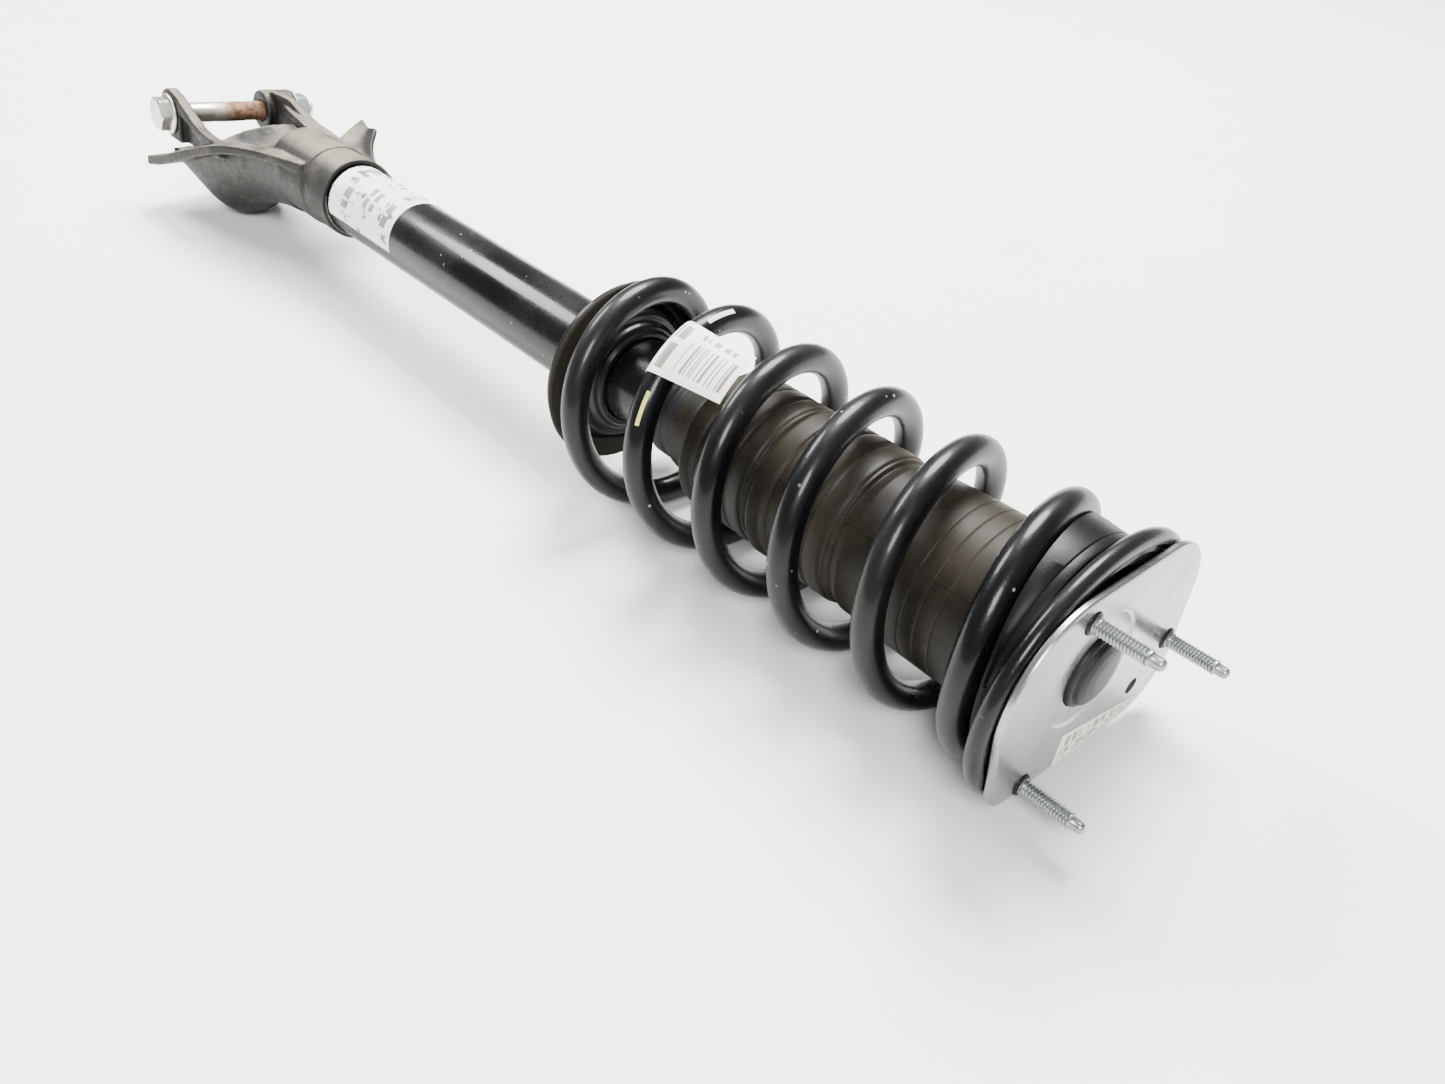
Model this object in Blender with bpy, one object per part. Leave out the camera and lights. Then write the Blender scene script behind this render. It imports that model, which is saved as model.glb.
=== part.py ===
"""Front coil-over strut with a forked lower mount, lying on its side.

The strut's axis runs along X: the fork is at the low end, the top mount at the high end.
Lengths along the axis are measured from the fork bolt, heights from the strut's axis, and
the last step lowers everything onto Z = 0 with the origin under the middle of the strut.
"""
import math

import bmesh
import bpy
from mathutils import Vector

MM = 0.001
GAP = 0.3            # clearance between touching pieces

# Damper (mm)
TUBE_R, TUBE_WALL = 25.4, 2.5
TUBE_START, TUBE_END = 152.0, 632.0
PRESSURE_R, PRESSURE_WALL = 17.5, 2.0
PRESSURE_START, PRESSURE_END = 182.0, 612.0
ROD_R, ROD_STUD_R = 11.0, 6.0
PISTON_X, PISTON_LENGTH = 566.0, 14.0

# Spring and its seats (mm)
WIRE_R, COIL_R = 7.6, 59.4
COIL_PITCH = 53.4
COIL_FIRST_NEAR = 570.9      # wire centre where the first open coil faces NEAR_ANGLE
NEAR_ANGLE = 41.6            # direction of that place, in degrees from +Z towards -Y
COIL_LEAD = 0.5              # turns from the wire's lower end to that place
COIL_TURNS = 6.05
COIL_DRAW_IN = 6.5           # how much tighter the lower end is wound
COIL_SEAT_X = 557.5          # wire centre on the lower seat
COIL_TOP_X = 842.5           # wire centre under the top mount
LOWER_SEAT_X = COIL_SEAT_X - WIRE_R - GAP
LOWER_SEAT_R = 55.5

# Top mount (mm)
SEAT_RIM_X, SEAT_RIM_THICK = 857.1, 8.6
SEAT_RIM_CENTRE, SEAT_RIM_HALF = (5.5, -6.0), (79.0, 66.5)
RIM_STEPS = 44
FLOOR_DROP = 70.0            # the rim's flat side, and what the strut lies on
PLATE_X, PLATE_THICK = 866.0, 4.0
PLATE_DISCS = ((-21.0, 3.0, 45.5), (-44.0, -36.0, 17.0), (56.0, -34.0, 31.0), (45.0, 2.0, 41.0))
STUD_PLACES = ((-15.0, 36.0), (75.0, -26.0), (-35.0, -49.0))
STUD_R, STUD_LENGTH = 4.0, 33.0
CAP_R = 18.0
PLATE_HOLE, PLATE_HOLE_R = (50.0, -43.0), 3.0
CORE_X = 842.0               # lower face of the bonded rubber bushing

# Fork (mm)
FORK_ROLL = -8.6             # degrees about the strut's axis
BOLT_R, BORE_R = 8.0, 8.5
SLEEVE_START, SLEEVE_END, SLEEVE_R = 150.0, 234.0, 29.3
NEAR_EAR_Y, FAR_EAR_Y = (-43.0, -36.0), (40.0, 47.0)
BOSS_Y = (34.0, 61.0)
EAR_R, BOSS_R = 20.0, 17.0
SHEET = 5.0


def material(name, color, roughness, metallic):
    """A Principled material of one colour."""
    made = bpy.data.materials.new(name)
    made.use_nodes = True
    shader = made.node_tree.nodes["Principled BSDF"]
    shader.inputs["Base Color"].default_value = (*color, 1.0)
    shader.inputs["Roughness"].default_value = roughness
    shader.inputs["Metallic"].default_value = metallic
    return made


STEEL = (0.55, 0.55, 0.56), 0.3, 1.0
BLACK_PAINT = (0.02, 0.021, 0.024), 0.25, 0.0
RUBBER = (0.05, 0.045, 0.045), 0.7, 0.0
BOOT_RUBBER = (0.06, 0.055, 0.045), 0.75, 0.0
FOAM = (0.75, 0.62, 0.35), 0.8, 0.0
ZINC = (0.62, 0.63, 0.62), 0.35, 1.0
FORK_METAL = (0.23, 0.22, 0.2), 0.55, 0.6
PLASTIC = (0.03, 0.03, 0.035), 0.45, 0.0


def add_object(name, bm, look, parent=None):
    """Turn a bmesh in millimetres into a named object in metres."""
    bmesh.ops.recalc_face_normals(bm, faces=bm.faces)
    bmesh.ops.scale(bm, vec=(MM, MM, MM), verts=bm.verts)
    mesh = bpy.data.meshes.new(name)
    bm.to_mesh(mesh)
    bm.free()
    mesh.shade_smooth()
    mesh.set_sharp_from_angle(angle=math.radians(35.0))
    made = bpy.data.objects.new(name, mesh)
    made.data.materials.append(material(name, *look))
    bpy.context.scene.collection.objects.link(made)
    made.parent = parent
    return made


def lathe_mesh(profile, steps=24):
    """Spin a closed outline of (x, radius) points about the X axis."""
    bm = bmesh.new()
    points = [bm.verts.new((x, 0.0, r)) for x, r in profile]
    edges = [bm.edges.new((points[i - 1], points[i])) for i in range(len(points))]
    bmesh.ops.spin(bm, geom=points + edges, cent=(0, 0, 0), axis=(1, 0, 0),
                   angle=math.tau, steps=steps, use_merge=True)
    bmesh.ops.remove_doubles(bm, verts=bm.verts, dist=1e-4)
    bmesh.ops.dissolve_degenerate(bm, dist=1e-4, edges=bm.edges)
    bmesh.ops.delete(bm, geom=[e for e in bm.edges if not e.link_faces], context="EDGES")
    return bm


def lathe(name, profile, look, parent=None, steps=24):
    return add_object(name, lathe_mesh(profile, steps), look, parent)


def ring(x0, x1, inner, outer, chamfer=0.0):
    """Outline of a round sleeve between x0 and x1, with its outer edges chamfered."""
    if not chamfer:
        return [(x0, inner), (x0, outer), (x1, outer), (x1, inner)]
    return [(x0, inner), (x0, outer - chamfer), (x0 + chamfer, outer),
            (x1 - chamfer, outer), (x1, outer - chamfer), (x1, inner)]


def disc(x0, x1, outer, chamfer=0.0):
    return ring(x0, x1, 0.0, outer, chamfer)


def prism(outline, start, end, axis="X"):
    """Extrude a closed outline of two-dimensional points along X or Y."""
    bm = bmesh.new()
    if axis == "X":
        verts = [bm.verts.new((start, a, b)) for a, b in outline]
        move = Vector((end - start, 0, 0))
    else:
        verts = [bm.verts.new((a, start, b)) for a, b in outline]
        move = Vector((0, end - start, 0))
    face = bm.faces.new(verts)
    made = bmesh.ops.extrude_face_region(bm, geom=[face])
    moved = [v for v in made["geom"] if isinstance(v, bmesh.types.BMVert)]
    bmesh.ops.translate(bm, vec=move, verts=moved)
    return bm


def cross_cylinder(y0, y1, radius, x=0.0, z=0.0, steps=32):
    """Round bar along Y."""
    outline = [(x + radius * math.cos(math.tau * i / steps), z + radius * math.sin(math.tau * i / steps))
               for i in range(steps)]
    return prism(outline, y0, y1, "Y")


def hexagon(across_flats):
    corner = across_flats / math.sqrt(3.0)
    return [(corner * math.cos(math.tau * i / 6), corner * math.sin(math.tau * i / 6)) for i in range(6)]


def hull_outline(discs, steps=28):
    """Points round the tight outline that encloses several discs (y, z, radius)."""
    rim = [Vector((y + r * math.cos(math.tau * i / steps), z + r * math.sin(math.tau * i / steps)))
           for y, z, r in discs for i in range(steps)]
    rim.sort(key=lambda p: (p.x, p.y))

    def half(points):
        chain = []
        for p in points:
            while len(chain) > 1 and (chain[-1] - chain[-2]).cross(p - chain[-2]) <= 1e-6:
                chain.pop()
            chain.append(p)
        return chain[:-1]

    return [(p.x, p.y) for p in half(rim) + half(rim[::-1])]


def inset_outline(outline, amount):
    """Move each point of a convex outline inwards."""
    count = len(outline)
    moved = []
    for i, point in enumerate(outline):
        before, after = Vector(outline[i - 1]), Vector(outline[(i + 1) % count])
        along = (after - before).normalized()
        moved.append((point[0] - along.y * amount, point[1] + along.x * amount))
    return moved


def stack(layers):
    """Closed solid through equal-length outlines placed at increasing x."""
    bm = bmesh.new()
    rows = [[bm.verts.new((x, a, b)) for a, b in outline] for x, outline in layers]
    count = len(rows[0])
    bm.faces.new(rows[0])
    bm.faces.new(rows[-1])
    for low, high in zip(rows, rows[1:]):
        for i in range(count):
            j = (i + 1) % count
            bm.faces.new((low[i], low[j], high[j], high[i]))
    return bm


def boolean(target, operation, bm_tool, name, solver="EXACT"):
    """Union or cut a target object with a hidden guide object."""
    tool = add_object(name, bm_tool, (ZINC[0], 0.5, 0.0), target.parent)
    tool.hide_render = True
    tool.display_type = "WIRE"
    step = target.modifiers.new(name, "BOOLEAN")
    step.operation = operation
    step.solver = solver
    step.object = tool


def lerp_stations(stations, x):
    """Values at x on the smooth curves through rows of (x, values...)."""
    last = len(stations) - 2
    k = next((i for i in range(last) if x <= stations[i + 1][0]), last)
    low, high = stations[k], stations[k + 1]
    before, after = stations[max(k - 1, 0)], stations[min(k + 2, last + 1)]
    span = high[0] - low[0]
    t = min(max((x - low[0]) / span, 0.0), 1.0)
    values = []
    for p, a, b, n in zip(before[1:], low[1:], high[1:], after[1:]):
        start, end = (b - p) * span / (high[0] - before[0]), (n - a) * span / (after[0] - low[0])
        values.append((2 * t ** 3 - 3 * t ** 2 + 1) * a + (t ** 3 - 2 * t ** 2 + t) * start
                      + (3 * t ** 2 - 2 * t ** 3) * b + (t ** 3 - t ** 2) * end)
    return values


# ---------------------------------------------------------------- lower body: damper

def build_damper(parent):
    inner = TUBE_R - TUBE_WALL
    lathe("damper_tube", ring(TUBE_START, TUBE_END, inner, TUBE_R), BLACK_PAINT, parent, 36)
    lathe("tube_base_cap", [(TUBE_START + 4, 0), (TUBE_START + 8, inner - 6), (TUBE_START + 1, inner - GAP),
                            (TUBE_START + 12, inner - GAP), (TUBE_START + 13, 0)], BLACK_PAINT, parent)
    bore = PRESSURE_R - PRESSURE_WALL
    lathe("pressure_tube", ring(PRESSURE_START, PRESSURE_END, bore, PRESSURE_R), STEEL, parent)
    lathe("base_valve", [(TUBE_START + 13.4, 0), (TUBE_START + 13.4, inner - 1), (PRESSURE_START - GAP,
          inner - 1),
                         (PRESSURE_START - GAP, bore - GAP), (PRESSURE_START + 8, bore - GAP),
                         (PRESSURE_START + 8, 0)], STEEL, parent)
    guide_x = PRESSURE_END + GAP
    lathe("rod_guide", [(guide_x - 7, ROD_R + 0.05), (guide_x - 7, bore - GAP), (guide_x, bore - GAP),
                        (guide_x, inner - GAP), (guide_x + 10, inner - GAP), (guide_x + 10, ROD_R + 0.05)],
          STEEL, parent)
    lathe("rod_seal", ring(guide_x + 10 + GAP, TUBE_END - 1, ROD_R + 0.05, inner - GAP, 1.0), RUBBER, parent)
    cap_in, cap_out = TUBE_R + GAP, TUBE_R + 2.0
    lathe("bump_stop_cap", [(TUBE_END - 30, cap_in), (TUBE_END - 30, cap_out), (TUBE_END + 1.5, cap_out),
                            (TUBE_END + 3, cap_out - 2), (TUBE_END + 3, ROD_R + 1.5),
                            (TUBE_END + GAP, ROD_R + 1.5), (TUBE_END + GAP, cap_in)], PLASTIC, parent)


def build_lower_seat(parent):
    """Stepped dish welded round the tube, with a rubber isolator on its rim."""
    x, hub, rim = LOWER_SEAT_X, TUBE_R + GAP, LOWER_SEAT_R
    dish = [(x + 12, hub), (x + 12, hub + 3), (x + 5, hub + 8), (x + 5, 38), (x - 2.8, 42),
            (x - 2.8, rim - 3.5), (x - 4, rim - 2.5), (x - 7.5, rim - 2.5), (x - 7.5, rim - 5), (x - 5.3,
             rim - 6),
            (x - 5.3, 41), (x + 2.5, 36.5), (x + 2.5, hub + 6.5), (x - 14, hub + 2.5), (x - 14, hub)]
    lathe("lower_spring_seat", dish, BLACK_PAINT, parent, 30)
    pad = [(x - 2.5, 43), (x, 44), (x, rim - 1), (x - 1, rim), (x - 2.5, rim)]
    lathe("lower_isolator", pad, RUBBER, parent, 30)


# ---------------------------------------------------------------- coil spring

def soft_max(a, b, blend=1.2):
    """The larger value, with the corner between the two rounded off."""
    return max(a, b) + blend * math.log1p(math.exp(-abs(a - b) / blend))


def coil_station(turn):
    """Axial place of the wire after a number of turns, flat on both seats."""
    rise = COIL_FIRST_NEAR + COIL_PITCH * (turn - COIL_LEAD)
    return -soft_max(-soft_max(rise, COIL_SEAT_X), -COIL_TOP_X)


def coil_point(turn, radius=COIL_R):
    """Centre of the wire; the coil is right-handed about +X and its lower end is drawn in."""
    share = min(max((turn - 0.15) / 0.47, 0.0), 1.0)
    radius -= COIL_DRAW_IN * (1.0 - share * share * (3.0 - 2.0 * share))
    angle = math.radians(NEAR_ANGLE) + math.tau * (turn - COIL_LEAD)
    return Vector((coil_station(turn), -radius * math.sin(angle), radius * math.cos(angle)))


def build_coil(parent, per_turn=18, sides=8):
    count = int(COIL_TURNS * per_turn)
    bm = bmesh.new()
    rows = []
    for i in range(count + 1):
        turn = COIL_TURNS * i / count
        centre = coil_point(turn)
        step = coil_point(turn + 0.002) - coil_point(turn - 0.002)
        tangent = step.normalized()
        outward = Vector((0, centre.y, centre.z)).normalized()
        side = tangent.cross(outward).normalized()
        outward = side.cross(tangent)
        rows.append([bm.verts.new(centre + WIRE_R * (math.cos(math.tau * k / sides) * outward
                                                     + math.sin(math.tau * k / sides) * side))
                     for k in range(sides)])
    for low, high in zip(rows, rows[1:]):
        for k in range(sides):
            j = (k + 1) % sides
            bm.faces.new((low[k], low[j], high[j], high[k]))
    bm.faces.new(rows[0])
    bm.faces.new(rows[-1])
    add_object("coil_spring", bm, BLACK_PAINT, parent)


# ---------------------------------------------------------------- moving body: rod and top mount

def build_rod(parent):
    nut_x = PISTON_X - 10.0
    shoulder = CORE_X + 3.0 - GAP
    lathe("piston_rod", [(nut_x - 4, 0), (nut_x - 4, ROD_STUD_R - 1), (nut_x - 3, ROD_STUD_R),
                         (PISTON_X + PISTON_LENGTH + GAP, ROD_STUD_R), (PISTON_X + PISTON_LENGTH + GAP, ROD_R),
                         (shoulder, ROD_R), (shoulder, ROD_STUD_R), (shoulder + 19, ROD_STUD_R),
                         (shoulder + 20, ROD_STUD_R - 1), (shoulder + 20, 0)], STEEL, parent)
    bore = PRESSURE_R - PRESSURE_WALL
    land, groove, hub = bore - 0.3, bore - 1.8, ROD_STUD_R + 0.1
    lathe("piston", [(PISTON_X, hub), (PISTON_X, land), (PISTON_X + 3, land), (PISTON_X + 3, groove),
                     (PISTON_X + 11, groove), (PISTON_X + 11, land), (PISTON_X + 14, land),
                     (PISTON_X + 14, hub)], STEEL, parent)
    lathe("piston_ring", ring(PISTON_X + 3.2, PISTON_X + 10.8, groove + 0.1, bore - 0.05), PLASTIC, parent)
    nut = prism(hexagon(17.0), nut_x, PISTON_X - GAP)
    piston_nut = add_object("piston_nut", nut, STEEL, parent)
    boolean(piston_nut, "DIFFERENCE", lathe_mesh(disc(nut_x - 2, PISTON_X + 2, hub), 24), "piston_nut_bore")
    lathe("rebound_stop", ring(PISTON_X + 26, PISTON_X + 36, ROD_R + 0.1, bore - 1.5, 1.0), PLASTIC, parent)


def build_soft_parts(parent):
    """Jounce bumper of three beads, and the envelope of the bellows dust boot round it."""
    top = CORE_X - GAP
    bumper = [(top, ROD_R + GAP)]
    for start, outer in ((top, 27.0), (top - 26, 25.0), (top - 50, 21.0)):
        bumper += [(start - 1, outer - 3), (start - 5, outer), (start - 18, outer), (start - 22, outer - 5)]
    bumper += [(top - 75, ROD_R + 4), (top - 75, ROD_R + GAP)]
    lathe("jounce_bumper", bumper, FOAM, parent, 18)

    low, high, wall = 619.0, CORE_X - GAP, 2.0
    outer = [(low, 31.5), (low + 12, 31.5), (low + 18, 40.5), (low + 70, 41.0), (low + 74, 42.0),
             (low + 127, 42.0), (low + 131, 40.5), (low + 180, 43.5), (high, 44.0)]
    inner = [(x, r - wall) for x, r in reversed(outer)]
    inner[-1] = (low, TUBE_R + 2.0 + GAP)
    inner[-2] = (low + 12, TUBE_R + 2.0 + GAP)
    lathe("dust_boot", outer + inner, BOOT_RUBBER, parent)


def seat_rim_outline(grow=0.0, steps=RIM_STEPS):
    """Oval rim with a flat lower side; grow moves it outwards."""
    y0, z0 = SEAT_RIM_CENTRE
    half_y, half_z = SEAT_RIM_HALF
    points = []
    for i in range(steps):
        angle = math.tau * i / steps
        points.append((y0 + (half_y + grow) * math.cos(angle),
                       max(z0 + (half_z + grow) * math.sin(angle), -FLOOR_DROP - grow)))
    return points


def circle(radius, steps=RIM_STEPS, centre=(0.0, 0.0)):
    return [(centre[0] + radius * math.cos(math.tau * i / steps),
             centre[1] + radius * math.sin(math.tau * i / steps)) for i in range(steps)]


def tube_between(layers_out, layers_in):
    """Closed ring-shaped solid: outer outlines and inner outlines at matching ends."""
    bm = bmesh.new()
    rows = [[bm.verts.new((x, a, b)) for a, b in outline] for x, outline in layers_out + layers_in[::-1]]
    count = len(rows[0])
    for k in range(len(rows)):
        low, high = rows[k], rows[(k + 1) % len(rows)]
        for i in range(count):
            j = (i + 1) % count
            bm.faces.new((low[i], low[j], high[j], high[i]))
    return bm


def build_top_mount(parent):
    x0, x1 = SEAT_RIM_X, SEAT_RIM_X + SEAT_RIM_THICK
    bead = SEAT_RIM_THICK / 2
    arc = [math.radians(a) for a in (-90, -45, 0, 45, 90)]
    rim = [(x0 + bead + bead * math.sin(a), seat_rim_outline(bead * (math.cos(a) - 1))) for a in arc]
    inside = [(x0, circle(36)), (x1 - 4, circle(36)), (x1 - 4, circle(50)), (x1, circle(50))]
    add_object("upper_spring_seat", tube_between(rim, inside), BLACK_PAINT, parent)

    bm = bmesh.new()
    rows, steps = [], RIM_STEPS
    base = SEAT_RIM_X - GAP
    for i in range(steps):
        turn_back = i / steps
        turn = COIL_TURNS + 0.01 - turn_back
        point = coil_point(turn)
        angle = math.atan2(point.z, point.y)
        lip = min(coil_station(turn) + WIRE_R + GAP, base - 1.5)
        shape = [(lip, 48.2), (lip, 60.0), (base - 1.0, 58.0), (base, 58.0), (base, 37.0), (base - 13, 37.0),
                 (base - 13, 44.5), (min(lip, base - 13) - 6, 44.5), (min(lip, base - 13) - 6, 48.2)]
        rows.append([bm.verts.new((x, r * math.cos(angle), r * math.sin(angle))) for x, r in shape])
    for k in range(steps):
        low, high = rows[k], rows[(k + 1) % steps]
        for i in range(len(low)):
            j = (i + 1) % len(low)
            bm.faces.new((low[i], low[j], high[j], high[i]))
    bmesh.ops.triangulate(bm, faces=bm.faces)
    add_object("upper_isolator", bm, RUBBER, parent)

    outline = hull_outline(PLATE_DISCS)
    plate = stack([(PLATE_X, inset_outline(outline, 0.8)), (PLATE_X + 0.8, outline),
                   (PLATE_X + PLATE_THICK - 0.8, outline), (PLATE_X + PLATE_THICK, inset_outline(outline,
                    0.8))])
    mount_plate = add_object("mount_plate", plate, ZINC, parent)
    boolean(mount_plate, "DIFFERENCE",
            lathe_mesh(disc(PLATE_X - 2, PLATE_X + PLATE_THICK + 2, CAP_R + 1.5), 32), "plate_centre_cut")
    hole = prism(circle(PLATE_HOLE_R, 16, PLATE_HOLE), PLATE_X - 2, PLATE_X + PLATE_THICK + 2)
    boolean(mount_plate, "DIFFERENCE", hole, "plate_hole_cut")
    for number, (y, z) in enumerate(STUD_PLACES, 1):
        cut = prism(circle(STUD_R + GAP, 16, (y, z)), PLATE_X - 2, PLATE_X + PLATE_THICK + 2)
        boolean(mount_plate, "DIFFERENCE", cut, f"stud_cut_{number}")
        tip = PLATE_X + PLATE_THICK + STUD_LENGTH
        profile = [(PLATE_X + 0.2, 0), (PLATE_X + 0.2, STUD_R), (tip - 9, STUD_R), (tip - 8, STUD_R - 1.1),
                   (tip - 1.5, STUD_R - 1.1), (tip, STUD_R - 2.4), (tip, 0)]
        bm = lathe_mesh(profile, 16)
        bmesh.ops.translate(bm, vec=(0, y, z), verts=bm.verts)
        add_object(f"mount_stud_{number}", bm, ZINC, parent)

    lathe("mount_bushing", ring(CORE_X, PLATE_X - 1.5, 14.0, 35.5, 2.0), RUBBER, parent, 32)
    lathe("bushing_sleeve", ring(CORE_X + 3, CORE_X + 13, ROD_STUD_R + 0.2, 13.7), STEEL, parent, 24)
    rod_nut = prism(hexagon(19.0), CORE_X + 13 + GAP, CORE_X + 21.0)
    nut = add_object("rod_nut", rod_nut, STEEL, parent)
    boolean(nut, "DIFFERENCE", lathe_mesh(disc(CORE_X + 10, CORE_X + 30, ROD_STUD_R + 0.15), 24),
            "rod_nut_bore")
    cap_x = PLATE_X + 1.0
    lathe("centre_cap", [(cap_x, 0), (cap_x, 12), (PLATE_X - 1, 14.5), (PLATE_X - 1, CAP_R + 1.0),
                         (cap_x + 4.5, CAP_R + 1.0), (cap_x + 7.0, CAP_R - 1.0), (cap_x + 9.0, CAP_R - 5.0),
                         (cap_x + 9.6, 0)], PLASTIC, parent, 32)


# ---------------------------------------------------------------- fork

# x, near rim y and z, far rim y and z, depth of the trough below its rims
TROUGH = ((-14.0, -39.0, -36.0, 44.0, -22.0, 1.0), (14.0, -39.0, -29.0, 44.0, -16.0, 31.0),
          (50.0, -38.0, -17.0, 43.0, -8.0, 57.0), (92.0, -35.0, -2.0, 36.0, 2.0, 48.0),
          (130.0, -31.0, 8.0, 31.0, 8.0, 46.0), (165.0, -29.8, 12.0, 29.8, 11.0, 45.0))
# x, inner y, outer y, top z and thickness of the flanges along the two rims
NEAR_FLANGE = ((-14.0, -36.0, -60.0, -36.0, 9.0), (12.0, -36.0, -60.0, -29.0, 9.0),
               (55.0, -35.0, -59.0, -12.0, 9.0), (100.0, -33.0, -50.0, 5.0, 9.0),
               (145.0, -28.0, -40.0, 14.0, 8.0), (200.0, -22.0, -28.0, 19.0, 8.0))
FAR_FLANGE = ((34.0, 38.0, 47.0, 14.0, 9.0), (96.0, 28.0, 38.0, 13.5, 8.0), (150.0, 22.0, 31.0, 14.0, 7.0),
              (200.0, 20.0, 31.0, 16.0, 7.0), (233.0, 20.0, 30.0, 16.0, 6.0))
# y, low x, high x and z of the hose bracket's sheet, from the far flange outwards
BRACKET = ((1.2, 134.0, 204.0, 12.0), (9.0, 128.0, 184.0, 13.0), (18.0, 123.0, 166.0, 17.0),
           (30.0, 122.0, 150.0, 24.0))
BRACKET_SHEET, BRACKET_DISH = 3.0, 5.0
# x, z of each arm's edge, along its top to the sleeve and back along the trough
NEAR_ARM = ((0.0, EAR_R), (12.0, 17.5), (25.0, 12.5), (41.0, 6.5), (56.0, 2.0), (74.0, 1.0), (92.0, 2.0),
            (92.0, -10.0), (40.0, -19.0))
FAR_ARM = ((0.0, BOSS_R), (22.0, 19.0), (40.0, 20.0), (56.0, 15.5), (76.0, 12.0), (100.0, 11.0), (125.0, 9.0),
           (125.0, 2.0), (90.0, -8.0), (40.0, -18.0))
# x, near y and z, far y and z, middle z of the pressed web that closes the trough over the tube's end
WEB = ((50.0, -36.0, -14.0, 41.5, 2.0, 1.0), (60.0, -36.0, -11.0, 41.0, 4.0, -8.0),
       (74.0, -35.0, -6.0, 38.0, 4.0, -15.0), (92.0, -34.0, -2.0, 36.0, 5.0, -11.0),
       (112.0, -32.0, 5.0, 33.0, 8.0, 2.0), (132.0, -30.0, 9.0, 30.0, 9.0, 17.0),
       (154.0, -28.0, 12.0, 28.0, 12.0, 28.0))
WEB_SHEET = 4.0


def trough_surface(bm, along=13, around=12):
    start, end = TROUGH[0][0], TROUGH[-1][0]
    rows = []
    for i in range(along + 1):
        x = start + (end - start) * i / along
        near_y, near_z, far_y, far_z, depth = lerp_stations(TROUGH, x)
        row = []
        for k in range(around + 1):
            angle = math.pi * k / around
            share = (1 - math.cos(angle)) / 2
            y = near_y + (far_y - near_y) * share
            z = near_z + (far_z - near_z) * share - depth * math.sin(angle) ** 0.8
            row.append(bm.verts.new((x, y, z)))
        rows.append(row)
    for low, high in zip(rows, rows[1:]):
        for k in range(around):
            bm.faces.new((low[k], low[k + 1], high[k + 1], high[k]))


def ear_outline(edge, radius):
    """Arm with a round eye about the bolt, running back to the trough."""
    eye = [(-radius * math.sin(math.radians(a)), radius * math.cos(math.radians(a)))
           for a in range(20, 181, 20)]
    return list(edge) + eye[::-1]


def flange_solid(stations, steps=12):
    """Bar along a rim of the trough, its top leaning slightly outwards and down."""
    start, end = stations[0][0], stations[-1][0]
    layers = []
    for i in range(steps + 1):
        x = start + (end - start) * i / steps
        inner, outer, top, thick = lerp_stations(stations, x)
        layers.append((x, [(inner, top), (outer, top - 1.5), (outer, top - thick), (inner, top + 1.5 - thick)]))
    return stack(layers)


def web_solid(along=12, across=10):
    """Dished sheet between the trough's rims, rising to the tube."""
    start, end = WEB[0][0], WEB[-1][0]
    layers = []
    for i in range(along + 1):
        x = start + (end - start) * i / along
        near_y, near_z, far_y, far_z, middle = lerp_stations(WEB, x)
        top = []
        for k in range(across + 1):
            share = k / across
            edge = near_z + (far_z - near_z) * share
            z = edge + (middle - (near_z + far_z) / 2) * math.sin(math.pi * share)
            top.append((near_y + (far_y - near_y) * share, z))
        layers.append((x, top + [(y, z - WEB_SHEET) for y, z in reversed(top)]))
    return stack(layers)


def build_bracket(parent, along=7, across=8):
    """Dished sheet that carries a hose clip, beside the far flange."""
    bm = bmesh.new()
    rows = []
    for i in range(along + 1):
        reach = BRACKET[0][0] + (BRACKET[-1][0] - BRACKET[0][0]) * i / along
        low, high, z = lerp_stations(BRACKET, reach)
        row = []
        for k in range(across + 1):
            share = k / across
            x = low + (high - low) * share
            foot = lerp_stations(FAR_FLANGE, x)[1]
            dish = BRACKET_DISH * math.sin(math.pi * share)
            row.append(bm.verts.new((x, foot + reach, z - dish)))
        rows.append(row)
    for low, high in zip(rows, rows[1:]):
        for k in range(across):
            bm.faces.new((low[k], low[k + 1], high[k + 1], high[k]))
    bracket = add_object("hose_bracket", bm, FORK_METAL, parent)
    sheet = bracket.modifiers.new("sheet", "SOLIDIFY")
    sheet.thickness = BRACKET_SHEET * MM
    sheet.offset = 0.0


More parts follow.
